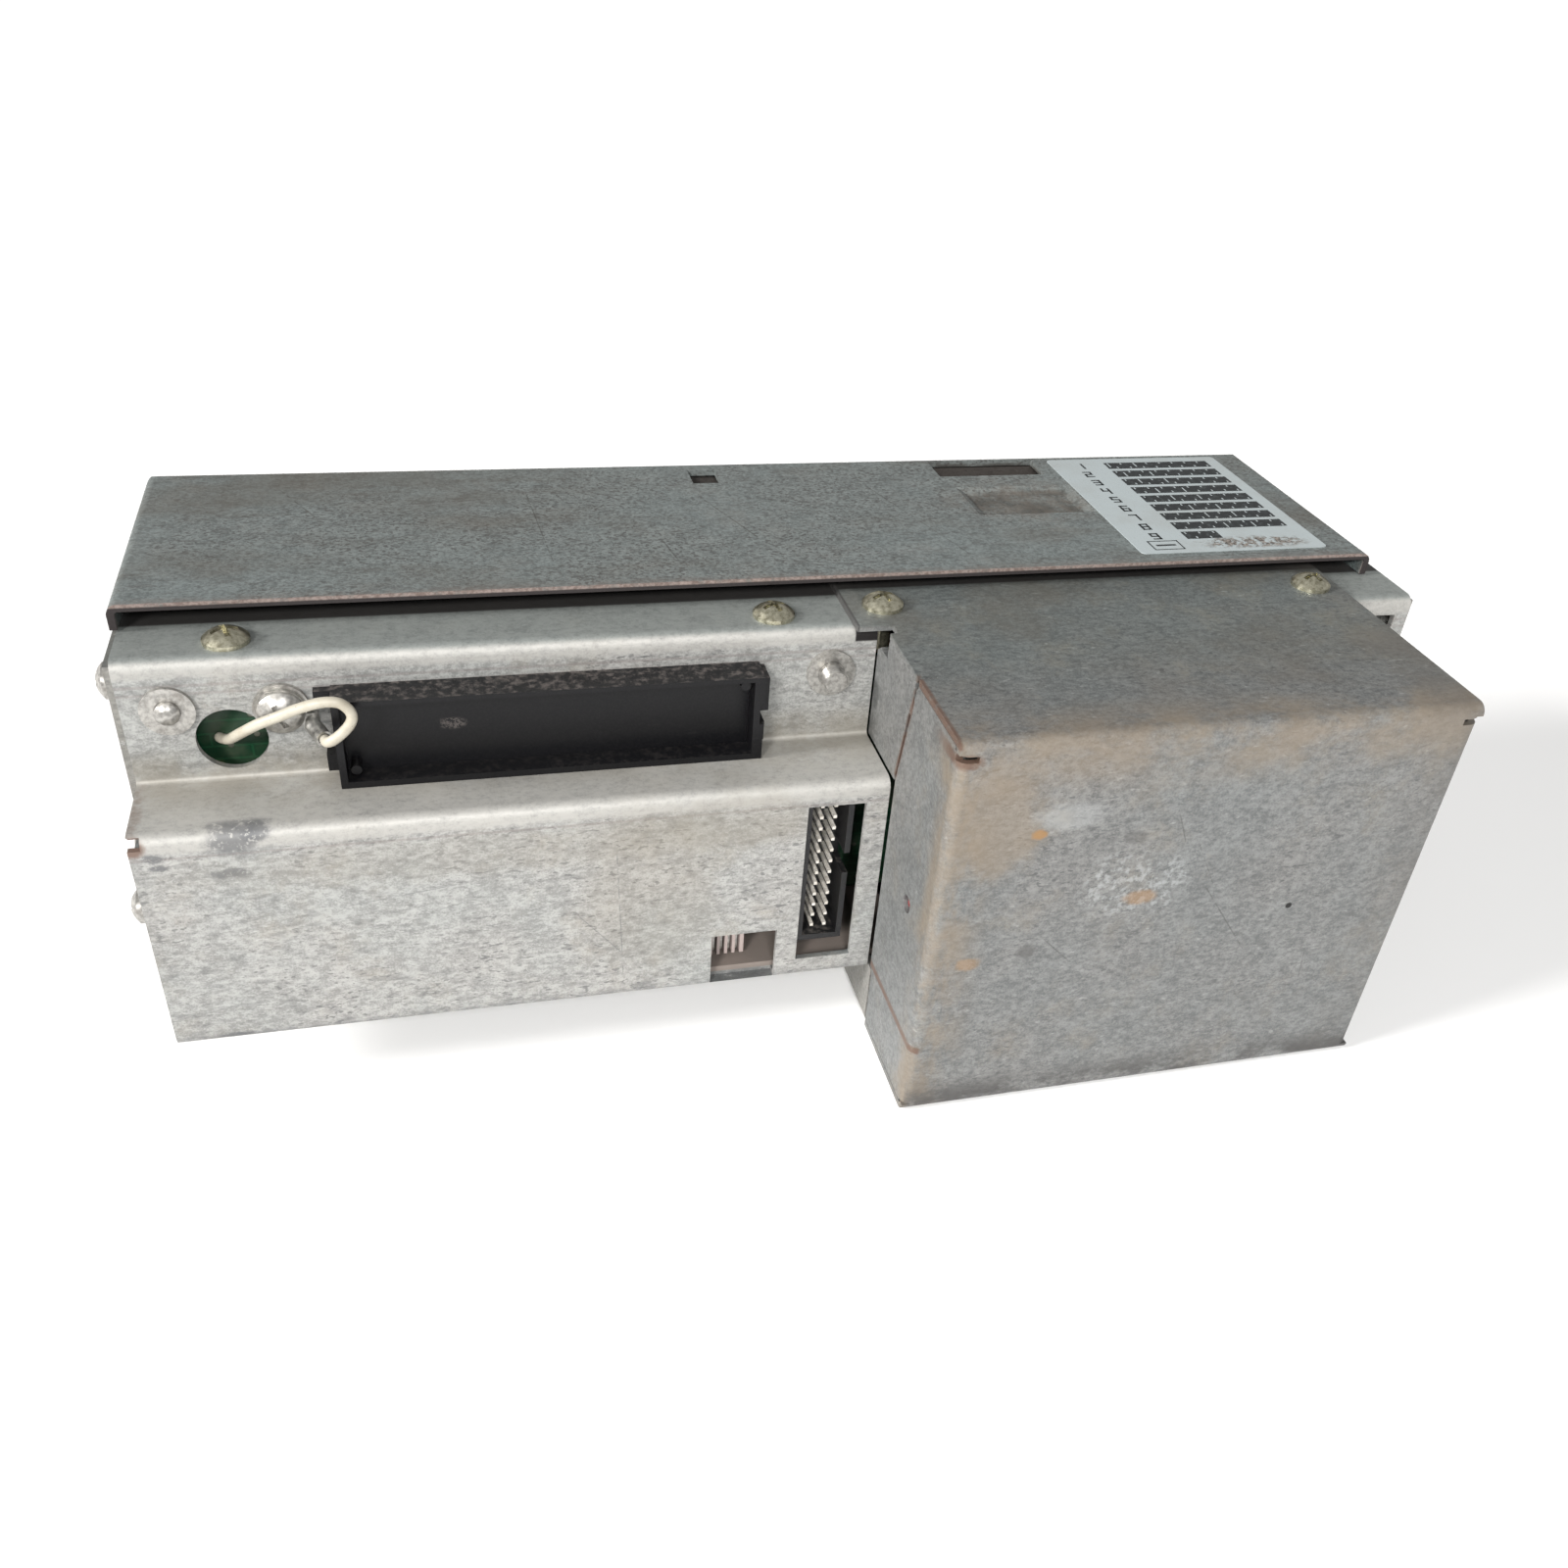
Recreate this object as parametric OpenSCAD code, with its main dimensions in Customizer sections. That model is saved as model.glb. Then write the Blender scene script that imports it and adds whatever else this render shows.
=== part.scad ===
// Servo drive in a folded, galvanised sheet-steel housing.
// Working axes: X runs along the housing from its left end, Y goes back from the
// lower front face, Z goes up from the underside of the deep box. datum() then
// puts the origin under the middle of the whole object.

/* [Housing] */
// Length of the housing between its end plates
housing_l = 240; // [238:1:246]
// Depth from the lower front face to the back of the top cover
housing_d = 84; // [84:0.5:88]
// Step between the underside of the box and the underside of the housing
drop_h = 13.2; // [12.8:0.1:14]
// Height of the lower front face
face_h = 45.2; // [44.8:0.1:46]
// How far the upper front face is set back
recess_d = 16.3; // [16:0.1:16.6]
// Height of the screw flange above the housing underside
flange_h = 68; // [67.6:0.1:69]
// Height of the top cover above the housing underside
cover_h = 72.8; // [72.6:0.1:74]

/* [Box cover] */
// Distance of the box from the left end of the housing
box_x = 128; // [127:0.5:129]
// Width of the box
box_w = 97; // [95:0.5:98]
// How far the box stands out in front of the lower front face
box_out = 26.7; // [26:0.1:30]

/* [Sheet metal] */
// Sheet thickness
sheet = 1.2; // [1:0.1:1.3]
// Outer radius of the folded bends
bend_r = 2.1; // [1.9:0.1:2.8]

/* [Controls] */
// Number of ways of the setting switch
switch_ways = 8; // [4:1:8]
// Travel of one switch slider
switch_travel = 1.8; // [1.4:0.1:2]
// Angle of the trimmer rotor about the vertical axis
trimmer_angle = 30; // [-90:5:90]

/* [Hidden] */

$fn = 48;
gap = 0.05;

// Levels
pan_z = drop_h + sheet;
pan_top = pan_z + sheet;
shelf_z = drop_h + face_h;
flange_z = drop_h + flange_h;
rail_z = flange_z - sheet;
box_z = flange_z + sheet;
cover_z = drop_h + cover_h;
cover_low = cover_z - sheet;

// Stations along the housing
shell_r = box_x - 0.3;
box_r = box_x + box_w;
cover_l = -0.9;
cover_r = housing_l - 4.5;
cover_y = 27;
cover_bend = 1.8;
flange_back = 46;
flap_x = box_x - 5;
flap_y = 14;

// Planes along the depth
wall_y = housing_d - 2 * sheet - 0.1;
control_y = 11.2;
power_y = 21;
inverter_y = 52;
board_t = 1.6;

// Fastener sizes: M4 on the front, M3 below and at the back
m4_r = 2;
m4_hole = 2.2;
stud_collar_r = 2.4;
m4_head_r = 3.8;
m4_head_h = 2.4;
m3_r = 1.5;
m3_hole = 1.6;
m3_head_r = 2.8;
m3_head_h = 2;
end_head_r = 3.1;
nut_core_r = 1.65;

// The origin lies under the middle of the bounding box
mid_x = housing_l / 2;
rear_y = housing_d + m3_head_h;
mid_y = (rear_y - box_out) / 2;

// Front hardware: [x, height above the housing underside]
screw_a = [17.2, 22.2];
screw_b = [109.5, 21.9];
screw_c = [box_x + 1.8, 21.4];
screw_d = [box_r - 6, 21.4];
stud_left = [7.3, drop_h + 59.1];
stud_mid = [24.7, drop_h + 58.5];
stud_right = [119.4, drop_h + 59];
peep_hole = [16.2, drop_h + 52.8];
peep_r = 5.7;

// Header window and small side window: [left, low, right, high]
header_cut = [112.6, drop_h + 4.7, 123.6, drop_h + 40.6];
side_cut = [95.8, drop_h + 0.4, 108.5, drop_h + 12.6];

// Top windows, pressed pocket and label: [left, front, right, back]
trim_win = [104.2, 72.6, 110.1, 79.7];
switch_win = [158.2, 73.1, 182.7, 81.7];
pocket = [159.7, 52.2, 185.6, 66.9];
pocket_d = 1;
label = [186, 30.9, 227.7, 80.9];

// Option bay in the recessed face: [left, low, right, high]
bay = [32.8, shelf_z + 0.1, 105.8, drop_h + 62];
bay_front = 10.2;
bay_floor = 14.4;
bay_wall = 1.2;

// Route of the white jumper wire: [x, y, height above the housing underside]
wire_r = 0.9;
wire_route = [[13.6, 20.4, 50.9], [14.3, 18.8, 51.6], [15.8, 16.2, 53.0], [18.4, 12.6, 56.2],
    [21.4, 10.3, 58.9], [24.7, 9.0, 60.8], [28.2, 8.5, 62.4], [31.6, 8.2, 63.4],
    [34.2, 8.1, 63.3], [35.7, 8.0, 62.1], [36.2, 7.9, 60.6], [35.6, 7.7, 59.2],
    [34.3, 7.4, 57.9], [32.8, 7.3, 56.8], [31.8, 8.0, 56.1], [31.4, 9.4, 55.8]];
lug_mouth = [31.3, 9.6, drop_h + 55.8];
lug_root = [29.4, 13.6, drop_h + 56.2];

// ---- helpers -------------------------------------------------------------

module datum() translate([-mid_x, -mid_y, 0]) children();

// Extrusions of a profile along one axis between two stations
module along_x(x0, x1) translate([x0, 0, 0]) rotate([90, 0, 90]) linear_extrude(x1 - x0) children();
module along_y(y0, y1) translate([0, y1, 0]) rotate([90, 0, 0]) linear_extrude(y1 - y0) children();
module along_z(z0, z1) translate([0, 0, z0]) linear_extrude(z1 - z0) children();

module slab(x0, x1, y0, y1, z0, z1) translate([x0, y0, z0]) cube([x1 - x0, y1 - y0, z1 - z0]);

module rod_x(y, z, x0, x1, r) translate([x0, y, z]) rotate([0, 90, 0]) cylinder(h = x1 - x0, r = r);
module rod_y(x, z, y0, y1, r) translate([x, y1, z]) rotate([90, 0, 0]) cylinder(h = y1 - y0, r = r);
module rod_z(x, y, z0, z1, r) translate([x, y, z0]) cylinder(h = z1 - z0, r = r);

// Rectangle from its corners, and the same with round corners
module rect(x0, y0, x1, y1) translate([x0, y0]) square([x1 - x0, y1 - y0]);
module round_rect(x0, y0, x1, y1, r) {
    rect(x0 + r, y0, x1 - r, y1);
    rect(x0, y0 + r, x1, y1 - r);
    for (x = [x0 + r, x1 - r], y = [y0 + r, y1 - r]) translate([x, y]) circle(r);
}

function unit(v) = v / norm(v);

// Sheet profile that follows a centre line with square folds of outer radius ro
module folded(pts, t, ro) {
    rc = ro - t / 2;
    last = len(pts) - 1;
    for (i = [0 : last - 1]) {
        d = unit(pts[i + 1] - pts[i]);
        n = [-d[1], d[0]] * t / 2;
        a = pts[i] + (i > 0 ? d * rc : [0, 0]);
        b = pts[i + 1] - (i < last - 1 ? d * rc : [0, 0]);
        polygon([a - n, b - n, b + n, a + n]);
    }
    for (i = [1 : last - 1]) {
        d0 = unit(pts[i] - pts[i - 1]);
        d1 = unit(pts[i + 1] - pts[i]);
        c = pts[i] - d0 * rc + d1 * rc;
        reach = ro * 1.2;
        intersection() {
            translate(c) difference() {
                circle(ro);
                circle(ro - t);
            }
            polygon([c, c + d0 * reach, c + (d0 - d1) * reach, c - d1 * reach]);
        }
    }
}

// Domed pan head with a cross recess, standing on z = 0, with its shank below
module pan_screw(head_r, head_h, shank_r, shank_l) {
    dome_r = head_r * 1.35;
    slot = head_r * 0.24;
    difference() {
        rotate_extrude() intersection() {
            square([head_r, head_h]);
            translate([0, head_h - dome_r]) circle(dome_r);
        }
        for (a = [0, 90]) rotate([0, 0, a + 20])
            translate([-head_r * 0.58, -slot / 2, head_h * 0.4]) cube([head_r * 1.16, slot, head_h]);
    }
    translate([0, 0, -shank_l]) cylinder(h = shank_l, r = shank_r);
}

module ring_y(x, z, y0, y1, r_out, r_in) difference() {
    rod_y(x, z, y0, y1, r_out);
    rod_y(x, z, y0 - 1, y1 + 1, r_in);
}

// Cylinder between two points
module strut(a, b, r) {
    d = b - a;
    translate(a) rotate([0, acos(d[2] / norm(d)), atan2(d[1], d[0])]) cylinder(h = norm(d), r = r);
}

// ---- sheet-metal housing -------------------------------------------------

// Floor pan with the back wall
module chassis_pan() datum() color("silver") difference() {
    along_x(0, housing_l) folded([[3, pan_z + sheet / 2],
        [wall_y + sheet / 2, pan_z + sheet / 2], [wall_y + sheet / 2, cover_low - 0.3]], sheet, bend_r);
    // clear of the short cover and of the set-back face at the right end
    slab(cover_r - 0.5, housing_l + 1, wall_y - 1, wall_y + 3, rail_z, cover_z);
    slab(box_r + 0.2, housing_l + 1, 0, recess_d, pan_z - 1, pan_top + 1);
    // opening over the lower tray, open to the front around the transformer
    slab(box_x + 8, box_r - 8, 2, 56, pan_z - 1, pan_top + 1);
    for (p = under_positions) rod_z(p[0], p[1], pan_z - 1, pan_top + 1, m3_hole);
    for (p = nut_positions) rod_y(p[0], p[1], wall_y - 1, wall_y + sheet + 1, nut_shank_r + gap);
    for (x = rear_screw_x) rod_y(x, rear_screw_z, wall_y - 1, wall_y + sheet + 1, m3_hole);
}

// Stepped front shell: flange, recessed face, shelf, lower face, bottom flange
module front_shell() datum() color("silver") difference() {
    union() {
        along_x(0, shell_r) folded([[flange_back, flange_z - sheet / 2],
            [recess_d + sheet / 2, flange_z - sheet / 2], [recess_d + sheet / 2, shelf_z - sheet / 2],
            [sheet / 2, shelf_z - sheet / 2], [sheet / 2, drop_h + sheet / 2],
            [14, drop_h + sheet / 2]], sheet, bend_r);
        // flange tongue under the box flap
        slab(shell_r - 1, shell_r + 13, recess_d + bend_r, flange_back, rail_z, flange_z);
        // turned-in tabs at the left end and at the box end
        slab(0, sheet, recess_d + 0.4, 30, shelf_z + 4, flange_z - 3);
        slab(0, sheet, 0.6, 10.4, drop_h + 5, shelf_z - 5);
        slab(shell_r - sheet, shell_r, recess_d + 0.4, 19.5, shelf_z + 4, flange_z - 5);
    }
    along_y(-1, 3) rect(header_cut[0], header_cut[1], header_cut[2], header_cut[3]);
    along_y(-1, 3) rect(side_cut[0], side_cut[1], side_cut[2], side_cut[3]);
    rod_y(peep_hole[0], peep_hole[1], recess_d - 1, recess_d + 2, peep_r);
    for (p = [stud_left, stud_mid]) rod_y(p[0], p[1], recess_d - 1, recess_d + 2, m4_hole);
    rod_y(stud_right[0], stud_right[1], recess_d - 1, recess_d + 2, stud_collar_r + gap);
    slab(bay[0] + 2.4, bay[2] - 2.4, recess_d - 1, recess_d + 2, bay[1] + 2.6, bay[3] - 2.2);
    slab(-1, 2, -1, 2, shelf_z - bend_r - 0.2, shelf_z - bend_r + 1.8);
    for (p = [screw_a, screw_b, screw_c]) rod_z(p[0], p[1], rail_z - 1, flange_z + 1, m4_hole);
    rod_x(end_high[0], end_high[1], -1, 2, m3_hole);
    rod_x(end_low[0], end_low[1], -1, 2, m3_hole);
    rod_z(under_positions[0][0], under_positions[0][1], drop_h - 1, pan_z + 0.5, m3_hole);
}

// End plates: stepped plate with turned-in top, back and bottom flanges
end_low = [8.2, drop_h + 26];
end_high = [22, drop_h + 62];
module end_outline_left() polygon([[5.6, pan_z], [wall_y - 0.2, pan_z], [wall_y - 0.2, rail_z],
    [recess_d + 1.2, rail_z], [recess_d + 0.4, drop_h + 42], [6.6, drop_h + 34]]);
module end_flanges(x0, x1, front) {
    slab(x0, x1, front, 78, rail_z - sheet, rail_z);
    slab(x0, x1, front, 76, pan_top, pan_top + sheet);
}
module left_end_plate() datum() color("gainsboro") difference() {
    union() {
        along_x(-sheet, 0) end_outline_left();
        end_flanges(-sheet, 12, recess_d + 4);
        slab(-sheet, 0, 5.6, 76, pan_z, pan_top + sheet);
    }
    rod_x(end_low[0], end_low[1], -3, 3, m3_hole);
    rod_x(end_high[0], end_high[1], -3, 3, m3_hole);
    rod_z(6, 76 - 5, pan_top - 1, pan_top + 3, m3_hole);
}
module right_end_plate() datum() color("gainsboro") difference() {
    union() {
        along_x(housing_l, housing_l + sheet)
            rect(recess_d + 1.3, pan_z, wall_y - 0.2, rail_z);
        end_flanges(housing_l - 12, housing_l + sheet, recess_d + 4);
    }
    // opening in front of the power terminals
    along_x(housing_l - 1, housing_l + 2) round_rect(33, drop_h + 17, 73, drop_h + 39, 2);
    rod_x(end_low[0] + 16, end_low[1] - 8, housing_l - 3, housing_l + 3, m3_hole);
    rod_x(end_high[0] + 2, end_high[1], housing_l - 3, housing_l + 3, m3_hole);
    for (y = [24, 71]) rod_z(housing_l - 6, y, pan_top - 1, pan_top + 3, m3_hole);
}

// Right-hand piece of the screw flange with its own stretch of recessed face
module right_front_bracket() datum() color("silver") difference() {
    union() {
        slab(box_r - 20, housing_l, recess_d + bend_r, flange_back, rail_z, flange_z);
        along_x(box_r + 0.4, housing_l) folded([[recess_d + bend_r + 1, flange_z - sheet / 2],
            [recess_d + sheet / 2, flange_z - sheet / 2], [recess_d + sheet / 2, pan_top]], sheet, bend_r);
        slab(housing_l - sheet, housing_l, recess_d + 0.4, 28, pan_top + sheet, flange_z - 4);
    }
    slab(box_r + 3, housing_l - 3, recess_d - 1, recess_d + 2, flange_z - 6.4, flange_z - 3.6);
    rod_z(screw_d[0], screw_d[1], rail_z - 1, flange_z + 1, m4_hole);
    rod_x(end_low[0] + 16, end_low[1] - 8, housing_l - 3, housing_l + 3, m3_hole);
    rod_x(end_high[0] + 2, end_high[1], housing_l - 3, housing_l + 3, m3_hole);
}

// Angle rail under the flange that the four flange screws bite into
module inner_rail() datum() color("gainsboro") difference() {
    along_x(13, box_r + 2) folded([[recess_d + bend_r + 0.1, rail_z - sheet / 2], [31, rail_z - sheet / 2],
        [31, rail_z - 11]], sheet, bend_r);
    for (p = [screw_a, screw_b, screw_c, screw_d])
        rod_z(p[0], p[1], rail_z - 3, rail_z + 1, m4_r + gap);
}

// Shallow lid with lips at both ends, a deep back lip, two windows and a pressed pocket
rear_screw_x = [20, 118, 214];
rear_screw_z = drop_h + 65;
module pocket_solid(grow, low) intersection() {
    slope = 2.2;
    along_y(pocket[1] - 9, pocket[3] + 9) polygon([[pocket[0] - grow, cover_z + 0.01],
        [pocket[0] + slope - grow, low], [pocket[2] - slope + grow, low],
        [pocket[2] + grow, cover_z + 0.01]]);
    along_x(pocket[0] - 9, pocket[2] + 9) polygon([[pocket[1] - grow, cover_z + 0.01],
        [pocket[1] + slope - grow, low], [pocket[3] - slope + grow, low],
        [pocket[3] + grow, cover_z + 0.01]]);
}
module top_cover() datum() color("lightslategray") difference() {
    union() {
        intersection() {
            union() {
                along_x(cover_l, cover_r) folded([[cover_y, cover_z - sheet / 2],
                    [housing_d - sheet / 2, cover_z - sheet / 2],
                    [housing_d - sheet / 2, rear_screw_z - 4]], sheet, cover_bend);
                along_y(cover_y, housing_d - 4) folded([[cover_l + sheet / 2, cover_z - 4.4],
                    [cover_l + sheet / 2, cover_z - sheet / 2], [cover_r - sheet / 2, cover_z - sheet / 2],
                    [cover_r - sheet / 2, cover_z - 4.4]], sheet, cover_bend);
            }
            // round corners at the back
            along_z(0, cover_z + 1) union() {
                round_rect(cover_l, cover_y + 10, cover_r, housing_d, 3.4);
                rect(cover_l, cover_y, cover_r, cover_y + 20);
            }
            // round ends of the sheet where the top meets the lips
            along_y(cover_y - 1, housing_d + 1)
                round_rect(cover_l, cover_z - 30, cover_r, cover_z, cover_bend);
        }
        difference() {
            pocket_solid(0.9, cover_z - pocket_d - sheet);
            slab(pocket[0] - 9, pocket[2] + 9, pocket[1] - 9, pocket[3] + 9, cover_z - 0.2, cover_z + 1);
        }
    }
    pocket_solid(0, cover_z - pocket_d);
    along_z(cover_z - 3, cover_z + 1) rect(trim_win[0], trim_win[1], trim_win[2], trim_win[3]);
    along_z(cover_z - 3, cover_z + 1) rect(switch_win[0], switch_win[1], switch_win[2], switch_win[3]);
    for (x = rear_screw_x) rod_y(x, rear_screw_z, housing_d - 3, housing_d + 1, m3_hole);
}

// Shallow tray under the deep part of the housing, with a tongue under the box
box_screw_x = [box_x + 24, box_r - 24];
box_screw_y = 6 - box_out;
module lower_tray() datum() color("gainsboro") difference() {
    union() {
        along_y(-1.5, wall_y + sheet) folded([[box_x + sheet / 2, pan_z], [box_x + sheet / 2, sheet / 2],
            [box_r - sheet / 2, sheet / 2], [box_r - sheet / 2, pan_z]], sheet, bend_r);
        slab(box_x + bend_r, box_r - bend_r, wall_y, wall_y + sheet, sheet / 2, pan_z);
        slab(box_x + 3, box_r - 3, 2.7 - box_out, 16, sheet, 2 * sheet);
    }
    for (x = box_screw_x) rod_z(x, box_screw_y, 0, 4, m3_r + gap);
    // air slots in the floor
    for (i = [0 : 5]) along_z(-1, 2 * sheet - 0.5)
        round_rect(box_x + 14 + 12 * i, 26, box_x + 18 + 12 * i, 62, 1.9);
}

// Five-sided box cover folded from one sheet
seam_top_y = -5.4;
seam_low_y = -1;
module box_side(x0) along_x(x0, x0 + sheet) polygon([[-box_out + bend_r, sheet + 0.2],
    [seam_low_y - 1.2, sheet + 0.2], [seam_low_y - 1.2, pan_z + 0.1], [seam_low_y, pan_z + 0.6],
    [seam_low_y, shelf_z + 1], [seam_top_y, box_z - 2 * sheet], [seam_top_y, box_z - sheet - 0.1],
    [-box_out + bend_r, box_z - sheet - 0.1]]);
module box_cover() datum() color("darkgray") difference() {
    union() {
        // floor, front and top, without the strips beside the upright bends
        difference() {
            along_x(box_x, box_r) folded([[flange_back, box_z - sheet / 2],
                [-box_out + sheet / 2, box_z - sheet / 2], [-box_out + sheet / 2, sheet / 2],
                [seam_low_y - 1.2, sheet / 2]], sheet, bend_r);
            for (x = [box_x - 1, box_r - bend_r])
                slab(x, x + bend_r + 1, -box_out - 1, -box_out + bend_r, bend_r - 0.2, box_z - bend_r);
        }
        // upright bends between the front and the sides
        along_z(bend_r - 0.2, box_z - bend_r) folded([[box_x + sheet / 2, -box_out + bend_r + 1],
            [box_x + sheet / 2, -box_out + sheet / 2], [box_r - sheet / 2, -box_out + sheet / 2],
            [box_r - sheet / 2, -box_out + bend_r + 1]], sheet, bend_r);
        box_side(box_x);
        // the right side runs on back to the bracket above the tray
        along_x(box_r - sheet, box_r) polygon([[-box_out + bend_r, sheet + 0.2],
            [seam_low_y - 1.2, sheet + 0.2], [seam_low_y - 1.2, pan_top + 0.2],
            [recess_d - 0.4, pan_top + 0.2],
            [recess_d - 0.4, box_z - sheet - 0.1], [-box_out + bend_r, box_z - sheet - 0.1]]);
        // flap over the screw flange, and the fold that covers the end of the step
        slab(flap_x, box_x + 4, flap_y, flange_back, box_z - sheet, box_z);
        along_y(seam_top_y + 1, flap_y - 3.4) folded([[box_x + 6, box_z - sheet / 2],
            [box_x + sheet / 2, box_z - sheet / 2], [box_x + sheet / 2, box_z - 8]], sheet, bend_r);
        along_x(box_x, box_x + sheet) polygon([[seam_top_y + 1.1, box_z - bend_r],
            [seam_low_y + 0.7, shelf_z + 0.3], [recess_d - 0.2, shelf_z + 0.3],
            [recess_d - 0.2, box_z - 6], [flap_y - 3.4, box_z - bend_r]]);
    }
    // the corner of the top between the seam and the fold stays square and open
    along_z(box_z - 5, box_z + 1) rect(box_x - 1, flap_y - 3.4, box_x + 1.6, flap_y);
    along_z(box_z - bend_r - 0.01, box_z + 1)
        rect(box_x - 1, seam_top_y - 0.6, box_x + 3.4, seam_top_y + 0.4);
    for (x = [box_x - 1, box_r - 3.6])
        slab(x, x + 4.6, -box_out - 1, -box_out + sheet + 0.4, box_z - bend_r - 1.6, box_z - bend_r - 0.4);
    for (p = [screw_c, screw_d]) rod_z(p[0], p[1], flange_z - 1, box_z + 1, m4_hole);
    rod_x(lamp_at[0], lamp_at[1], box_x - 1, box_x + 2, lamp_r + 0.15);
    for (x = box_screw_x) translate([x, box_screw_y, 0]) {
        translate([0, 0, -1]) cylinder(h = 4, r = m3_hole);
        translate([0, 0, -0.01]) cylinder(h = sheet, r1 = csk_r, r2 = csk_r - sheet);
    }
}

module rating_label() datum() color("lightsteelblue") along_z(cover_z, cover_z + 0.15)
    round_rect(label[0], label[1], label[2], label[3], 1);

// ---- front hardware ------------------------------------------------------

// Black bay for a plug-in option: open frame with a recessed floor and side clips
module option_bay() datum() color([0.08, 0.08, 0.09]) {
    fillet = bend_r - sheet + 0.1;
    difference() {
        slab(bay[0], bay[2], bay_front, recess_d, bay[1], bay[3]);
        slab(bay[0] + bay_wall, bay[2] - 1.9, bay_front - 1, bay_floor, bay[1] + bay_wall, bay[3] - 0.9);
        slab(bay[2] - 0.7, bay[2] + 1, bay_front - 1, recess_d + 1, bay[1] + 7.2, bay[1] + 11.4);
        // chamfer that clears the inside of the shelf bend
        along_x(bay[0] - 1, bay[2] + 1) polygon([[recess_d - fillet - 0.2, bay[1] - 0.2],
            [recess_d + 0.2, bay[1] - 0.2], [recess_d + 0.2, bay[1] + fillet + 0.2]]);
    }
    difference() {
        slab(bay[0] + 2.6, bay[2] - 2.6, recess_d - 0.6, recess_d + sheet + 1.6,
            bay[1] + 2.8, bay[3] - 2.4);
        slab(bay[0] + 4, bay[2] - 4, recess_d + 0.6, recess_d + 4, bay[1] + 4, bay[3] - 3.6);
    }
    // clips at the ends
    slab(bay[0] - 2.8, bay[0] + 1, recess_d - 1.6, recess_d, bay[3] - 1.4, bay[3] - 0.2);
    slab(bay[0] - 1.9, bay[0] + 1, recess_d - 2.6, recess_d, bay[1] + 1.6, bay[1] + 4.8);
    slab(bay[2] - 1, bay[2] + 1, bay_front + 1, recess_d, bay[3] - 7.2, bay[3] - 0.6);
    slab(bay[2] - 1, bay[2] + 0.4, bay_front + 1, recess_d, bay[1] + 3.4, bay[1] + 7.2);
    // locating pins in two corners of the floor
    rod_y(bay[0] + 2.7, bay[1] + 2.7, bay_front + 1.4, bay_floor, 0.9);
    rod_y(bay[2] - 3.2, bay[3] - 2.3, bay_front + 1.4, bay_floor, 0.9);
}

// Jumper wire swept along its route as an eight-sided tube
wire_steps = 3;
wire_pts = [for (p = wire_route) [p[0], p[1], p[2] + drop_h]];
wire_n = len(wire_pts);
function clamp_i(i) = min(max(i, 0), wire_n - 1);
function spline(i, t) = let (a = wire_pts[clamp_i(i - 1)], b = wire_pts[i], c = wire_pts[clamp_i(i + 1)],
    d = wire_pts[clamp_i(i + 2)])
    0.5 * (2 * b + (c - a) * t + (2 * a - 5 * b + 4 * c - d) * t * t + (3 * b - a - 3 * c + d) * t * t * t);
wire_line = concat([for (i = [0 : wire_n - 2], k = [0 : wire_steps - 1]) spline(i, k / wire_steps)],
    [wire_pts[wire_n - 1]]);
module tube_sweep(line, r, sides) {
    n = len(line);
    rings = [for (i = [0 : n - 1]) let (
        d = unit(line[min(i + 1, n - 1)] - line[max(i - 1, 0)]),
        u = unit(cross(d, cross([0.3, 1, 0.12], d))), v = cross(d, u))
        for (k = [0 : sides - 1]) line[i] + r * (cos(360 * k / sides) * u + sin(360 * k / sides) * v)];
    sides_f = [for (i = [0 : n - 2], k = [0 : sides - 1])
        let (a = i * sides + k, b = i * sides + (k + 1) % sides)
        [b, a, a + sides, b + sides]];
    polyhedron(rings, concat(sides_f, [[for (k = [0 : sides - 1]) k]],
        [[for (k = [sides - 1 : -1 : 0]) (n - 1) * sides + k]]), convexity = 8);
}
module jumper_wire() datum() color("ivory") tube_sweep(wire_line, wire_r, 8);

// Ring terminal with its crimp barrel
module wire_lug() datum() color("lightgray") {
    y1 = recess_d - 0.8;
    ring_y(stud_mid[0], stud_mid[1], y1 - 0.8, y1, 4, m4_r + gap);
    difference() {
        union() {
            slab(stud_mid[0] + 3.2, lug_root[0] + 1, y1 - 0.8, y1, lug_root[2] - 1.3, lug_root[2] + 1.6);
            strut([lug_root[0], y1 - 0.1, lug_root[2]], lug_root, 1.2);
            strut(lug_root, lug_mouth, 1.4);
        }
        strut(lug_mouth + (lug_root - lug_mouth) * 0.45, lug_mouth + (lug_mouth - lug_root), 1);
    }
}

module earth_screw() datum() color("darkkhaki") {
    y1 = recess_d - 0.8 - 0.8;
    translate([stud_mid[0], y1, stud_mid[1]]) rotate([90, 0, 0]) pan_screw(m4_head_r, m4_head_h, m4_r, 5.6);
}

module stud_washers() datum() color("gainsboro") {
    ring_y(stud_left[0], stud_left[1], recess_d - 0.8, recess_d, 4.3, m4_r + gap);
    ring_y(stud_mid[0], stud_mid[1], recess_d - 0.8, recess_d, 4.5, m4_r + gap);
    ring_y(stud_right[0], stud_right[1], recess_d - 0.8, recess_d, 4.5, stud_collar_r + gap);
}

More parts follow.
